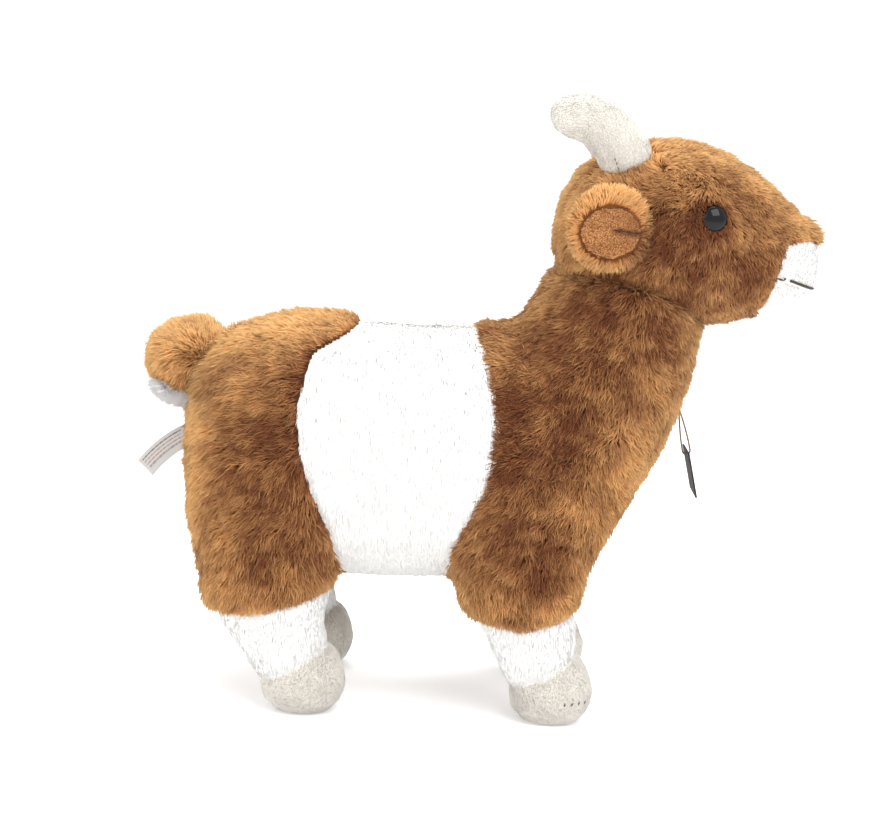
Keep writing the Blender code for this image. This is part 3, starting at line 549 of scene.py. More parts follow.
# Panel family: lie, tones, pile length (mm), half width (mm), tufts per mm2, standing, wildness, slot.
FURRED = {
    "rump_panel": (RUMP_LIE, RUMP_TONE, 6.6, 0.20, 3.3, 0.50, 0.40, "brown_fur"),
    "shoulder_panel": (SHOULDER_LIE, SHOULDER_TONE, 6.2, 0.20, 3.3, 0.52, 0.48, "brown_fur"),
    "hind_inner_leg": (RUMP_LIE, RUMP_TONE, 6.2, 0.22, 2.0, 0.50, 0.35, "brown_fur"),
    "front_inner_leg": (SHOULDER_LIE, SHOULDER_TONE, 6.2, 0.22, 2.0, 0.50, 0.35, "brown_fur"),
    "belly_band": (BELLY_LIE, PALE_TONE, 5.8, 0.34, 3.6, 0.08, 0.12, "white_fur"),
    "hind_sock": (SOCK_LIE, PALE_TONE, 4.6, 0.32, 3.5, 0.12, 0.14, "white_fur"),
    "front_sock": (SOCK_LIE, PALE_TONE, 4.6, 0.32, 3.5, 0.12, 0.14, "white_fur"),
    "hind_hoof": (HOOF_LIE, PALE_TONE, 1.9, 0.15, 7.0, 0.45, 0.75, "grey_velour"),
    "front_hoof": (HOOF_LIE, PALE_TONE, 1.9, 0.15, 7.0, 0.45, 0.75, "grey_velour"),
    "hind_sole": (HOOF_LIE, PALE_TONE, 0.9, 0.18, 2.0, 0.20, 0.50, "grey_velour"),
    "front_sole": (HOOF_LIE, PALE_TONE, 0.9, 0.18, 2.0, 0.20, 0.50, "grey_velour"),
    "cheek_panel": (HEAD_LIE, HEAD_TONE, 5.0, 0.20, 3.8, 0.62, 0.50, "brown_fur"),
    "crown_panel": (HEAD_LIE, HEAD_TONE, 5.0, 0.20, 3.8, 0.62, 0.50, "brown_fur"),
    "muzzle_upper": (MUZZLE_LIE, PALE_TONE, 2.4, 0.26, 5.0, 0.10, 0.20, "white_fur"),
    "muzzle_lower": (MUZZLE_LIE, PALE_TONE, 2.4, 0.26, 5.0, 0.10, 0.20, "white_fur"),
    "tail_top": (TAIL_LIE, TAIL_TONE, 7.5, 0.22, 5.0, 0.62, 0.40, "brown_fur"),
    "tail_underside": (UNDERTAIL_LIE, PAINTED_LIGHT_TONE, 12.0, 0.26, 7.0, 0.60, 0.35, "white_fur"),
    "horn": (HORN_LIE, PALE_TONE, 1.1, 0.15, 8.0, 0.35, 0.50, "grey_velour"),
    "ear": (EAR_LIE, EAR_TONE, 4.8, 0.19, 6.0, 0.70, 0.45, "brown_fur"),
    "ear_lining": (LINING_LIE, LINING_TONE, 1.1, 0.18, 7.0, 0.60, 0.60, "brown_velour"),
}
# How far the tufts' shading leans to the skin's, how far their tips gather in clumps, and how uneven
# their tone and their standing are.
SHADING = {
    "brown_fur": (0.50, 0.34, 1.0),
    "white_fur": (0.70, 0.12, 0.3),
    "grey_velour": (0.60, 0.28, 0.8),
    "brown_velour": (0.60, 0.30, 0.8),
}
# How many times longer the pile is at side-view places.
PILE_FIELDS = {
    "rump_panel": (
        ((-116, 161), 1.9), ((-104, 160), 1.15), ((-118, 148), 1.7), ((-108, 140), 1.1),
        ((-122, 128), 1.0), ((-90, 150), 1.0), ((-100, 110), 1.0), ((-70, 160), 1.0), ((-100, 60), 1.0),
    ),
    "crown_panel": (((138, 215), 1.9), ((128, 226), 1.0), ((100, 250), 1.0), ((60, 240), 1.0)),
}
# How far along the strand's colours the roots and the cloth start; starting further along gives the ears'
# roots less of the painted shade.
ROOT_SHADE = 0.03
ROOT_SHADES = {"ear": 0.24, "ear_lining": 0.12}
EAR_MIDDLE = np.array((48.4, 0.0, 215.5))
# The stitched fold of an ear in side view, from the middle of its lining to its root.
FOLD = ((49.5, 215.8), (54.0, 215.3), (58.0, 214.6), (62.0, 213.8))
FOLD_HALF = 1.3
FOLD_DEPTH = 1.5
FOLD_BARE = 0.8
# Along the ear's fold the lining's pile is painted darker, a painted shade in the crease: by this much,
# fading out over this reach in mm.
FOLD_PAINTED_SHADE = 0.8
FOLD_PAINTED_SHADE_REACH = 1.8


def family(node):
    """The panel family that a node belongs to, without its side."""
    for ending in ("_left", "_right"):
        if node.endswith(ending):
            return node[: -len(ending)]
    return node


def radial(points, normals, middle):
    """A pile that lies outwards from the middle of an ear."""
    lie = in_own_frame(points) - middle
    lie[:, 1] = 0.0
    return unit(tangent(unit(lie), normals))


def along_fold(places, reach):
    """How near each place is to the fold of an ear in side view: 1 on it, 0 from the reach outwards."""
    own = in_own_frame(places)
    distance = np.full(len(places), np.inf)
    for (x0, z0), (x1, z1) in zip(FOLD, FOLD[1:]):
        dx, dz = x1 - x0, z1 - z0
        share = ((own[:, 0] - x0) * dx + (own[:, 2] - z0) * dz) / (dx * dx + dz * dz)
        share = np.clip(share, 0, 1)
        off = np.hypot(own[:, 0] - x0 - share * dx, own[:, 2] - z0 - share * dz)
        distance = np.minimum(distance, off)
    return np.clip(1 - distance / reach, 0, 1)


CLOTH = 0.8


def piece_of_skin(skin, owner, index):
    """The faces of a skin that lie on one panel, thickened inwards to a closed piece of cloth."""
    bm = bmesh.new()
    bm.from_mesh(skin.data)
    bm.faces.ensure_lookup_table()
    gone = [f for f in bm.faces if owner[f.index] != index]
    bmesh.ops.delete(bm, geom=gone, context="FACES")
    mesh = bpy.data.meshes.new("patch")
    bm.to_mesh(mesh)
    bm.free()
    patch = new_object("patch", mesh)
    thicken = patch.modifiers.new("thicken", "SOLIDIFY")
    thicken.thickness = CLOTH * MM
    thicken.offset = -1.0
    settle(patch)
    co, _ = vertex_arrays(patch.data)
    faces = [np.array(p.vertices) for p in patch.data.polygons]
    bpy.data.objects.remove(patch)
    return co, faces


def panel_finder(panels):
    """One search tree over several nodes, and the number of each node's last triangle."""
    bm = bmesh.new()
    last = []
    for name in panels:
        bm.from_mesh(NODES[name].data)
        bm.faces.ensure_lookup_table()
        last.append(len(bm.faces))
    tree = BVHTree.FromBMesh(bm)
    bm.free()
    return tree, np.array(last)


def owners(places, panels):
    """Which of the panels each place is nearest to."""
    tree, last = panel_finder(panels)
    faces = [tree.find_nearest(p)[2] for p in places]
    return np.searchsorted(last, faces, side="right")


SEAM_DEPTH = 1.2
SEAM_REACH = 5.0


def press_seams(skin, gap):
    """Presses a soft valley into a skin along the seams."""
    co, no = vertex_arrays(skin.data)
    near = np.clip(1 - gap / (SEAM_REACH * MM), 0, 1)
    co -= no * (near * near * (3 - 2 * near) * SEAM_DEPTH * MM)[:, None]
    co[:, 2] = np.maximum(co[:, 2], 0.0)
    skin.data.vertices.foreach_set("co", co.ravel())
    skin.data.update()


def clump_tones(clump):
    """A number of each clump's own, -0.5 to 0.5, scattered by the digits of a large sine."""
    scattered = np.sin(clump * 12.9898) * 43758.5453
    return scattered - np.floor(scattered) - 0.5


def reach_share(places, tree, reach):
    """How near each place is to a tree's surface: 1 on it, 0 from the reach outwards."""
    found = [tree.find_nearest(p, reach)[3] for p in places]
    return np.array([0.0 if distance is None else 1 - distance / reach for distance in found])


# Tufts per clump, and the share of all the tufts that is grown.
CLUMP_SIZE = 8
DENSITY = 1.0
# The sizes of the broad and the fine patches in the fur, in metres.
BROAD_PATCH = 0.014
FINE_PATCH = 0.0045
# The least that an uneven tuft stands, unless its fur is flatter, and the most.
LEAST_RISE = 0.22
MOST_RISE = 1.5
# Next to a seam the pile has this share of its length, and the rest comes back over the seam's reach.
SEAM_PILE = 0.78
# The pile of an ear shortens by this share towards its root.
EAR_ROOT_TRIM = 0.65
# The sides of a tuft gather this share as much as its tip does.
SIDE_GATHERING = 0.25


def gather(points, clump, keep, gathering):
    """Draws the tufts' tips to the tip of their clump's middle tuft."""
    rank = np.full(len(keep), -1)
    rank[np.flatnonzero(keep)] = np.arange(len(points))
    lead = rank[clump]
    led = lead >= 0
    tips = points[:, -1]
    pull = np.zeros((len(points), 3))
    pull[led] = tips[lead[led]] - tips[led]
    points[:, -1] += gathering * pull
    points[:, 1:3] += SIDE_GATHERING * gathering * pull[:, None]


def grow_fur(skin, panels, carrier, seed, bare=(), trims=(), shift=(0.0, 0.0, 0.0)):
    """Fur pieces for all the panels of one skin. No tufts grow in reach of the bare trees.
    The pile shortens towards the trims and is darkened there with painted shade: tree, reach, least share,
    painted shade, trimmed slot.
    The colours end the shift's length before the panels do."""
    rng = np.random.default_rng(seed)
    co, _ = vertex_arrays(skin.data)
    gap = seam_distances(co + shift, panels)
    press_seams(skin, gap)
    centres = np.array([p.center for p in skin.data.polygons])
    face_owner = owners(centres + shift, panels)
    densest = max(FURRED[family(p)][4] for p in panels)
    place, normal, corners, share = scatter(skin, densest * DENSITY, rng)
    seam = np.einsum("ij,ij->i", share, gap[corners])
    own = owners(place + shift, panels)
    broad = smooth_noise(place, BROAD_PATCH, seed + 1)
    fine = smooth_noise(place, FINE_PATCH, seed + 2)
    clump = nearest_clump(place, CLUMP_SIZE * DENSITY, rng)
    open_place = np.ones(len(place), bool)
    for tree, reach in bare:
        open_place &= reach_share(place, tree, reach) == 0
    for index, panel in enumerate(panels):
        kind = family(panel)
        guides, tone_guides, pile, width, density, stand, wildness, slot = FURRED[kind]
        soften, gathering, uneven = SHADING[slot]
        keep = (own == index) & (rng.random(len(place)) < density / densest) & open_place
        if kind == "ear_lining":
            keep &= along_fold(place, FOLD_BARE) == 0
        p, n, patches, spots = place[keep], normal[keep], broad[keep], fine[keep]
        count = len(p)
        lie = radial(p, n, EAR_MIDDLE) if kind == "ear" else combed(p, n, guides)
        towards_root = np.clip((lie[:, 0] - 0.35) / 0.5, 0, 1) if kind == "ear" else 0.0
        lie = unit(tangent(lie + 0.9 * wildness * (patches + spots), n))
        wild = rng.normal(size=(count, 3))
        lie = unit(tangent(lie + 0.7 * wildness * wild, n))
        off_seam = np.clip(seam[keep] / (SEAM_REACH * MM), 0, 1)
        length = pile * MM * (SEAM_PILE + (1 - SEAM_PILE) * off_seam) * (0.75 + 0.5 * rng.random(count))
        length *= 1 - EAR_ROOT_TRIM * towards_root
        if kind in PILE_FIELDS:
            length *= field(p, PILE_FIELDS[kind])
        # Painted shade that darkens the tone: near the trims that ask for it, such as round the eyes, and
        # along the ear's fold.
        painted_shade = np.zeros(count)
        for tree, reach, least, trim_painted_shade, trimmed in trims:
            if trimmed == slot:
                near_tree = reach_share(p + shift, tree, reach)
                length *= 1 - (1 - least) * near_tree
                painted_shade += trim_painted_shade * near_tree
        # Painted shade along the ear's fold.
        if kind == "ear_lining":
            painted_shade += FOLD_PAINTED_SHADE * along_fold(p, FOLD_PAINTED_SHADE_REACH)
        rise = stand + uneven * (0.3 * spots[:, 0] + 0.2 * wild[:, 0])
        rise = np.clip(rise, min(stand, LEAST_RISE), MOST_RISE)
        half_width = width * MM * (0.7 + 0.6 * rng.random(count)) / math.sqrt(DENSITY)
        points = tuft_geometry(p, n, lie, length, rise, half_width, rng)
        gather(points, clump[keep], keep, gathering)
        facing_out(points)
        blotches = 0.20 * patches[:, 1] + 0.18 * spots[:, 1] + 0.22 * clump_tones(clump[keep])
        tone = field(p, tone_guides) + uneven * (blotches + 0.12 * rng.normal(size=count))
        tone = np.clip(tone - painted_shade, 0.0, 1.0)
        cloth = piece_of_skin(skin, face_owner, index)
        root_shade = ROOT_SHADES.get(kind, ROOT_SHADE)
        mesh = tuft_mesh(f"{panel}_plush", points, tone, root_shade, n, soften, *cloth)
        mesh.materials.append(MATERIALS[slot])
        piece = new_object(f"{panel}_plush", mesh)
        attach(piece, carrier)
        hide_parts(panel)
    bpy.data.objects.remove(skin)


# ---------------------------------------------------------------- small parts


def plain_mesh(name, vertices, faces):
    mesh = bpy.data.meshes.new(name)
    mesh.from_pydata([tuple(v) for v in vertices], [], faces)
    mesh.update()
    return mesh


def closed_mesh(name, vertices, faces):
    """A smooth closed mesh with its faces turned outwards."""
    mesh = plain_mesh(name, vertices, faces)
    bm = bmesh.new()
    bm.from_mesh(mesh)
    bmesh.ops.recalc_face_normals(bm, faces=bm.faces)
    bm.to_mesh(mesh)
    bm.free()
    mesh.shade_smooth()
    return mesh


def finished(obj, body, material, slot, *nodes):
    """Gives a piece its material, its body and the nodes it stands for. The slot is not used."""
    obj.data.materials.append(material)
    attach(obj, body)
    if nodes:
        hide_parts(*nodes)


EYE_SEGMENTS = 48
EYE_RINGS = 14
# The brim of an eye draws in to this share of its radius, under a rim of this height.
BRIM_DRAWN_IN = 0.97
BRIM_RIM = 0.35
BRIM_BACK = 0.4
# Points of an eye node further than this from its apex are its back.
EYE_BACK_FROM = 9.0


def make_eye(node, material):
    """A finely turned glossy dome in place of an eye node, with a flat back and its shank."""
    co, _ = vertex_arrays(NODES[node].data)
    outward = np.array((0.0, math.copysign(1.0, co.mean(axis=0)[1]), 0.0))
    apex = co[np.argmax(co @ outward)]
    back = co[np.linalg.norm(co - apex, axis=1) > EYE_BACK_FROM * MM].mean(axis=0)
    axis = unit((apex - back)[None])[0]
    along = (co - back) @ axis
    radius = np.linalg.norm(co - back - along[:, None] * axis, axis=1)
    brim_radius = radius.max()
    brim = along[np.argmax(radius)]
    height = along.max() - brim
    shank = radius[along < brim - 1.0 * MM].max()
    side = unit(np.cross(axis, (0.0, 0.0, 1.0))[None])[0]
    up = np.cross(side, axis)
    rings = []
    for k in range(1, EYE_RINGS):
        angle = math.pi / 2 * (1 - k / EYE_RINGS)
        rings.append((brim_radius * math.cos(angle), brim + height * math.sin(angle)))
    rings.append((brim_radius, brim))
    rings.append((brim_radius * BRIM_DRAWN_IN, brim - BRIM_RIM * MM))
    rings.append((shank, brim - BRIM_BACK * MM))
    rings.append((shank, 0.0))
    vertices = [back + axis * (brim + height)]
    for ring_radius, ring_along in rings:
        for k in range(EYE_SEGMENTS):
            turn = 2 * math.pi * k / EYE_SEGMENTS
            spoke = side * math.cos(turn) + up * math.sin(turn)
            vertices.append(back + axis * ring_along + spoke * ring_radius)
    faces = [(0, 1 + k, 1 + (k + 1) % EYE_SEGMENTS) for k in range(EYE_SEGMENTS)]
    for r in range(len(rings) - 1):
        a, b = 1 + r * EYE_SEGMENTS, 1 + (r + 1) * EYE_SEGMENTS
        for k in range(EYE_SEGMENTS):
            n = (k + 1) % EYE_SEGMENTS
            faces.append((a + k, b + k, b + n, a + n))
    last = 1 + (len(rings) - 1) * EYE_SEGMENTS
    faces.append(tuple(last + k for k in reversed(range(EYE_SEGMENTS))))
    mesh = closed_mesh(node + "_dome", vertices, faces)
    finished(new_object(node + "_dome", mesh), "body", material, "eye_plastic", node)


THREAD_SIDES = 8


def thread_along(path, radii):
    """The vertices and faces of a round closed thread along a path, with a radius at each point."""
    vertices, faces = [], []
    reference = Vector((0.3, 0.2, 1.0)).normalized()
    for i, point in enumerate(path):
        ahead = path[min(i + 1, len(path) - 1)] - path[max(i - 1, 0)]
        ahead.normalize()
        side = ahead.cross(reference).normalized()
        up = side.cross(ahead)
        for k in range(THREAD_SIDES):
            turn = 2 * math.pi * k / THREAD_SIDES
            vertices.append(point + (side * math.cos(turn) + up * math.sin(turn)) * radii[i])
    for i in range(len(path) - 1):
        a, b = i * THREAD_SIDES, (i + 1) * THREAD_SIDES
        for k in range(THREAD_SIDES):
            n = (k + 1) % THREAD_SIDES
            faces.append((a + k, a + n, b + n, b + k))
    last = (len(path) - 1) * THREAD_SIDES
    faces.append(tuple(reversed(range(THREAD_SIDES))))
    faces.append(tuple(range(last, last + THREAD_SIDES)))
    return vertices, faces


def world_point(x, z, y=0.0):
    return Vector(((x + OWN_FRAME[0]) * MM, y * MM, z * MM))


# Sideways from the middle plane, in mm: past the widest panel, and inside the head.
WELL_OUT = 120
INSIDE = 24


def side_point(tree, x, z, side, lift):
    """The outermost point of a surface at a side-view place, lifted off it."""
    hit, normal, _, _ = tree.ray_cast(world_point(x, z, side * WELL_OUT), Vector((0, -side, 0)))
    if hit is None:
        hit, normal, _, _ = tree.find_nearest(world_point(x, z, side * INSIDE))
    return hit + normal * lift * MM


# A stitch bulges by this share of its radius, and its ends are this much thinner.
STITCH_BULGE = 0.5
STITCH_END = 0.4


def make_stitches(name, tree, places, side, radius, material, body, lift):
    """A run of small sewn stitches over a surface, as one piece of several closed threads."""
    vertices, faces = [], []
    bulge = Vector((0, side * radius * STITCH_BULGE * MM, 0))
    radii = (radius * STITCH_END * MM, radius * MM, radius * STITCH_END * MM)
    for first, last in places:
        a = side_point(tree, *first, side, lift)
        b = side_point(tree, *last, side, lift)
        start = len(vertices)
        stitch_vertices, stitch_faces = thread_along((a, (a + b) / 2 + bulge, b), radii)
        vertices += stitch_vertices
        faces += [tuple(start + i for i in face) for face in stitch_faces]
    finished(new_object(name, closed_mesh(name, vertices, faces)), body, material, "dark_thread")


def make_ear_lining(side_name, side, seed):
    """The short-piled oval on the ear, with a stitched fold from its root to its middle."""
    node = f"ear_lining_{side_name}"
    skin = smooth_skin("lining_skin", [node], 0.9, 3)
    co, no = vertex_arrays(skin.data)
    outer = no[:, 1] * side > 0
    co -= no * (outer * along_fold(co, FOLD_HALF) * FOLD_DEPTH * MM)[:, None]
    skin.data.vertices.foreach_set("co", co.ravel())
    skin.data.update()
    grow_fur(skin, [node], f"ear_{side_name}", seed)


# The corner of the mouth, back and up from the end of its thread.
CORNER_STEPS = ((-6.5, 1.6), (-3.2, 0.7), (-0.8, 0.1))


def mouth_corner(side):
    """The last stitches of the mouth on one cheek, on from the end of its thread."""
    co, _ = vertex_arrays(NODES["mouth_thread"].data)
    x, _, z = in_own_frame(co[np.argmax(co[:, 1] * side)])
    points = [(x + back, z + up) for back, up in CORNER_STEPS]
    return list(zip(points, points[1:]))


MUZZLE_MIDDLE = (112, 193)
MOUTH_LIFT = 1.1


def make_mouth(material):
    """The sewn mouth line, which lies on the pile of the muzzle."""
    mesh = NODES["mouth_thread"].data.copy()
    co, _ = vertex_arrays(mesh)
    out = co - np.array(world_point(*MUZZLE_MIDDLE))
    out[:, 2] = 0.0
    co += unit(out) * MOUTH_LIFT * MM
    mesh.vertices.foreach_set("co", co.ravel())
    mesh.materials.clear()
    mesh.shade_smooth()
    finished(new_object("mouth_line", mesh), "body", material, "dark_thread", "mouth_thread")


LABEL_ACROSS = 20
LABEL_ALONG = 56
LABEL_THICKNESS = 0.25
# The ribbon's upper and lower edge in side view: from the seam to the free end, and how they bow.
LABEL_TOP = np.array(((-129.6, 119.0), (-154.0, 99.5), (-1.4, 1.6)))
LABEL_LOW = np.array(((-131.0, 107.4), (-147.2, 92.8), (-0.6, 1.0)))
# Generic print on the ribbon: the cells across it that each row covers, and its ink.
LABEL_ROWS = ((range(3, 4), 0), (range(6, 7), 1), (range(9, 10), 2), (range(12, 14), 1))
PRINT_CELLS = range(11, LABEL_ALONG - 3)


def label_edge(edge, t):
    """A place on an edge of the ribbon at a share of its length."""
    root, end, bow = edge
    return root + (end - root) * t + bow * 4 * t * (1 - t)


def label_shades():
    """Which ink, if any, each cell of the ribbon has: 0 is none. The rows are plain dashes."""
    rng = np.random.default_rng(5)
    shades = np.zeros((LABEL_ALONG, LABEL_ACROSS), int)
    for row, ink in LABEL_ROWS:
        on, marks = True, []
        while len(marks) < LABEL_ALONG:
            marks += [on] * int(rng.integers(2, 6) if on else 1)
            on = not on
        for i in PRINT_CELLS:
            shades[i, row.start:row.stop] = (1 + ink) * marks[i]
    return shades


def make_label(ribbon, inks):
    """The sewn-in satin ribbon, gently curved and twisted, with rows of plain dashes for print."""
    vertices = []
    for i in range(LABEL_ALONG + 1):
        t = i / LABEL_ALONG
        top, low = label_edge(LABEL_TOP, t), label_edge(LABEL_LOW, t)
        for j in range(LABEL_ACROSS + 1):
            s = j / LABEL_ACROSS
            y = 1.3 * math.sin(t * 2.6) * (s - 0.35) + 0.5 * math.sin(s * 3.1) * t
            vertices.append(world_point(*(top + (low - top) * s), y))
    faces = []
    for i in range(LABEL_ALONG):
        for j in range(LABEL_ACROSS):
            a = i * (LABEL_ACROSS + 1) + j
            faces.append((a, a + 1, a + LABEL_ACROSS + 2, a + LABEL_ACROSS + 1))
    mesh = plain_mesh("care_label_ribbon", vertices, faces)
    mesh.polygons.foreach_set("material_index", label_shades().astype(np.int32).ravel())
    label = new_object("care_label_ribbon", mesh)
    for material in (ribbon, *inks):
        mesh.materials.append(material)
    thicken = label.modifiers.new("thicken", "SOLIDIFY")
    thicken.thickness = LABEL_THICKNESS * MM
    thicken.offset = 0.0
    settle(label)
    label.data.shade_smooth()
    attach(label, "care_label")
    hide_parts("care_label")


STRING_TOP = (86.5, 134.0)
STRING_LEAN = math.radians(13)
STRING_RADIUS = 0.4
# From the stitch in the chest to the card's top edge, from there to its hole, and the bend in the hole.
STRING_DROP = 18.5
CARD_HOLE_DOWN = 2.4
STRING_BEND = 1.7
STRAND_STEPS = 16
BEND_STEPS = 12
# How far apart the two ends of the thread leave the chest.
STRING_SPREAD = 2.2


def string_route():
    """Down from the chest, through the hole of the card and up again."""
    top = world_point(*STRING_TOP)
    down = Vector((math.sin(STRING_LEAN), 0, -math.cos(STRING_LEAN)))
    out = Vector((math.cos(STRING_LEAN), 0, math.sin(STRING_LEAN)))
    across = Vector((0, 1, 0))
    reach = STRING_DROP + CARD_HOLE_DOWN - STRING_BEND
    strand = []
    for i in range(STRAND_STEPS):
        share = i / STRAND_STEPS
        spread = STRING_BEND * math.sin(share * math.pi / 2)
        strand.append((reach * share, spread, -STRING_SPREAD / 2 * (1 - share)))
    bend = []
    for i in range(BEND_STEPS + 1):
        angle = math.pi * i / BEND_STEPS
        bend.append((reach + STRING_BEND * math.sin(angle), STRING_BEND * math.cos(angle), 0.0))
    back = [(a, -b, -c) for a, b, c in reversed(strand)]
    return [top + (down * a + out * b + across * c) * MM for a, b, c in strand + bend + back]


def make_tag_string(material):
    """The thin doubled thread that the card hangs on."""
    path = string_route()
    curve = bpy.data.curves.new("tag_thread", "CURVE")
    curve.dimensions = "3D"
    curve.bevel_depth = STRING_RADIUS * MM
    curve.bevel_resolution = 3
    curve.use_fill_caps = True
    spline = curve.splines.new("POLY")
    spline.points.add(len(path) - 1)
    for point, place in zip(spline.points, path):
        point.co = (*place, 1.0)
    thread = new_object("tag_thread", curve)
    curve.materials.append(material)
    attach(thread, "tag_string")
    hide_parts("tag_string")


# ---------------------------------------------------------------- the goat

# The strand's colours from root to tip, for a dark and a light tuft of each slot. Their darkening towards
# the root is partly the fibre's own colour and partly painted shade deep in the pile, which the cloth
# between the tufts takes too; the bright golden tips of the brown fur are partly its own colour and partly
# painted light shining through the tips.
BROWN_DARK = ((0.0, (0.022, 0.006, 0.003)), (0.45, (0.090, 0.024, 0.009)), (1.0, (0.230, 0.072, 0.027)))
BROWN_LIGHT = ((0.0, (0.13, 0.040, 0.013)), (0.45, (0.56, 0.225, 0.068)), (1.0, (0.96, 0.60, 0.25)))
WHITE_DARK = ((0.0, (0.66, 0.65, 0.625)), (0.5, (0.70, 0.695, 0.675)), (1.0, (0.73, 0.725, 0.71)))
WHITE_LIGHT = ((0.0, (0.69, 0.68, 0.66)), (0.5, (0.74, 0.735, 0.72)), (1.0, (0.78, 0.775, 0.765)))
GREY_DARK = ((0.0, (0.57, 0.53, 0.47)), (0.5, (0.715, 0.675, 0.61)), (1.0, (0.80, 0.76, 0.695)))
GREY_LIGHT = ((0.0, (0.63, 0.59, 0.525)), (0.5, (0.81, 0.77, 0.70)), (1.0, (0.90, 0.865, 0.80)))
LINING_DARK = ((0.0, (0.12, 0.038, 0.013)), (0.5, (0.34, 0.135, 0.048)), (1.0, (0.48, 0.205, 0.080)))
LINING_LIGHT = ((0.0, (0.24, 0.085, 0.030)), (0.5, (0.60, 0.28, 0.105)), (1.0, (0.82, 0.44, 0.19)))


# The skins: voxel (mm) and smoothing rounds.
BODY_SKIN = (3.0, 6)
HEAD_SKIN = (2.5, 5)
TAIL_SKIN = (2.0, 4)
HORN_SKIN = (1.3, 50)
EAR_SKIN = (1.5, 4)
# The long fur makes the tail broader than its filling, and nearer to the rump.
TAIL_SHIFT = (4.0 * MM, 0, -1.5 * MM)
TAIL_BREADTH = 1.6
# The white of the muzzle starts this far behind its seam.
MUZZLE_SHIFT = (4.4 * MM, 0.0, 0.0)

HORN_DART = [((49.8 + 0.8 * k, 245 - 1.9 * k), (50.3 + 0.8 * k, 243.9 - 1.9 * k)) for k in range(5)]
HOOF_STITCHES = (
    ((39.7, 12.2), (39.2, 10.7)),
    ((42.5, 12.4), (42.0, 10.9)),
    ((45.3, 12.5), (44.8, 11.0)),
    ((47.9, 12.6), (47.4, 11.1)),
)

BODY_FAMILIES = (
    "rump_panel", "shoulder_panel", "hind_inner_leg", "front_inner_leg", "belly_band", "hind_sock",
    "front_sock", "hind_hoof", "front_hoof", "hind_sole", "front_sole",
)
HEAD_FAMILIES = ("cheek_panel", "crown_panel", "muzzle_upper", "muzzle_lower")
BODY_PANELS = [n for n in NODES if family(n) in BODY_FAMILIES]
HEAD_PANELS = [n for n in NODES if family(n) in HEAD_FAMILIES]
BODY_FILLING = [n for n in NODES if "leg_stuffing" in n or n == "torso_stuffing"]

make_camera()
make_light()
make_floor()

MATERIALS = {
    "brown_fur": fur_material("brown_fur", BROWN_DARK, BROWN_LIGHT, 0.8, 0.35, (1.0, 0.62, 0.28)),
    "white_fur": fur_material("white_fur", WHITE_DARK, WHITE_LIGHT, 0.9, 0.05),
    "grey_velour": fur_material("grey_velour", GREY_DARK, GREY_LIGHT, 0.9, 0.15),
    "brown_velour": fur_material("brown_velour", LINING_DARK, LINING_LIGHT, 0.9, 0.2, (1.0, 0.6, 0.3)),
}
# Painted light: the white fur glows a little, standing in for light that passes through and between its
# fibres.
white_shader = MATERIALS["white_fur"].node_tree.nodes["Principled BSDF"]
white_shader.inputs["Emission Color"].default_value = (1.0, 0.99, 0.97, 1.0)
white_shader.inputs["Emission Strength"].default_value = 0.07
thread_material = noisy_material("dark_thread", (0.012, 0.008, 0.006), (0.05, 0.035, 0.028), 900.0, 0.7)
stitch_material = noisy_material("grey_stitch", (0.10, 0.09, 0.08), (0.22, 0.20, 0.18), 900.0, 0.8)
# Near-black thread: on the ear's fold its darkness is partly the stitches' own colour and partly painted
# shade in the crease; the hooves' stitches use it too.
fold_material = noisy_material("fold_thread_and_crease_shade", (0.020, 0.009, 0.005), (0.045, 0.022, 0.012), 900.0, 0.95)
string_material = noisy_material("tag_thread", (0.10, 0.06, 0.045), (0.26, 0.17, 0.13), 1500.0, 0.6)
eye_material, eye_shader = principled("eye_plastic", (0.003, 0.003, 0.004), 0.05)
eye_shader.inputs["Specular IOR Level"].default_value = 0.27
ribbon_material, _ = principled("satin_ribbon", (0.49, 0.475, 0.47), 0.5)
ink_materials = (
    principled("ink_black", (0.045, 0.045, 0.05), 0.6)[0],
    principled("ink_grey", (0.24, 0.24, 0.24), 0.6)[0],
    principled("ink_red", (0.34, 0.15, 0.12), 0.6)[0],
)

make_tag_string(string_material)
make_label(ribbon_material, ink_materials)

eye_tree = tree_of(["eye_left", "eye_right"])
mouth_tree = tree_of(["mouth_thread"])
muzzle_tree = tree_of(["muzzle_upper", "muzzle_lower"])
sock_tree = tree_of([n for n in NODES if "sock" in n])
head_tree = tree_of(HEAD_PANELS)
body_skin = smooth_skin("body_skin", BODY_PANELS + BODY_FILLING, *BODY_SKIN)
head_skin = smooth_skin("head_skin", HEAD_PANELS + ["head_stuffing"], *HEAD_SKIN)
tail_skin = smooth_skin("tail_skin", ["tail_top", "tail_underside", "tail_stuffing"], *TAIL_SKIN)
tail_skin.data.transform(Matrix.Translation(TAIL_SHIFT) @ Matrix.Diagonal((1, TAIL_BREADTH, 1, 1)))

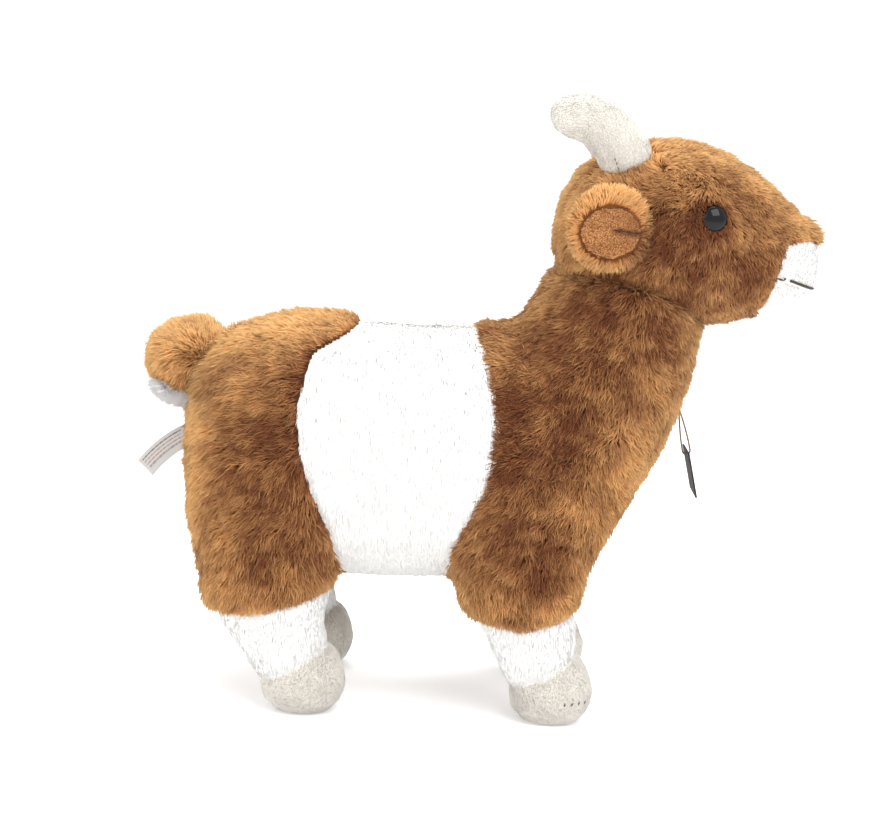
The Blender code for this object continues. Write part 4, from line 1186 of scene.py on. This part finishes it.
hem_trims = ((sock_tree, 7 * MM, 0.5, 0.0, "brown_fur"),)
head_bare = ((eye_tree, 0.4 * MM), (mouth_tree, 0.9 * MM))
# Round the eyes the pile is also painted darker, a painted shade in their pits; near the muzzle it only
# shortens.
head_trims = ((eye_tree, 5 * MM, 0.5, 0.5, "brown_fur"), (muzzle_tree, 7 * MM, 0.45, 0.0, "brown_fur"))
grow_fur(body_skin, BODY_PANELS, "body", 11, trims=hem_trims)
grow_fur(head_skin, HEAD_PANELS, "body", 23, head_bare, head_trims, MUZZLE_SHIFT)
grow_fur(tail_skin, ["tail_top", "tail_underside"], "tail", 37)
for side_name, side in SIDES.items():
    horn, ear, lining = (f"{part}_{side_name}" for part in ("horn", "ear", "ear_lining"))
    lining_tree = tree_of([lining])
    horn_skin = smooth_skin("horn_skin", [horn, f"horn_stuffing_{side_name}"], *HORN_SKIN)
    grow_fur(horn_skin, [horn], "body", 41 + side)
    ear_skin = smooth_skin("ear_skin", [ear], *EAR_SKIN)
    grow_fur(ear_skin, [ear], ear, 51 + side, ((lining_tree, 0.55 * MM),))
    make_ear_lining(side_name, side, 61 + side)
    make_eye(f"eye_{side_name}", eye_material)
    ear_fold = list(zip(FOLD, FOLD[1:]))
    hoof_tree = tree_of([f"front_hoof_{side_name}"])
    # Each run: name, surface, places, radius (mm), material, body, lift off the surface (mm).
    runs = (
        ("ear_fold", lining_tree, ear_fold, 0.5, fold_material, ear, 0.7),
        ("horn_dart", tree_of([horn]), HORN_DART, 0.35, stitch_material, "body", 0.9),
        ("mouth_corner", head_tree, mouth_corner(side), 0.5, thread_material, "body", 1.3),
        ("hoof_stitches", hoof_tree, HOOF_STITCHES, 0.3, fold_material, "body", 1.2),
    )
    for run, tree, places, radius, material, body, lift in runs:
        make_stitches(f"{run}_{side_name}", tree, places, side, radius, material, body, lift)
make_mouth(thread_material)

card_material = noisy_material("card", (0.030, 0.026, 0.026), (0.050, 0.044, 0.044), 350.0, 0.55, 0.15)
card_shader = card_material.node_tree.nodes["Principled BSDF"]
card_shader.inputs["Specular IOR Level"].default_value = 0.03
CAD_MATERIALS = {
    "stuffing": noisy_material("filling", (0.80, 0.80, 0.79), (0.95, 0.95, 0.94), 260.0, 0.95, 0.6),
    "washer": noisy_material("washer_plastic", (0.70, 0.70, 0.68), (0.80, 0.80, 0.78), 400.0, 0.5),
    "hang_tag": card_material,
}
for name, node in NODES.items():
    for word, material in CAD_MATERIALS.items():
        if word in name:
            node.data.materials.clear()
            node.data.materials.append(material)
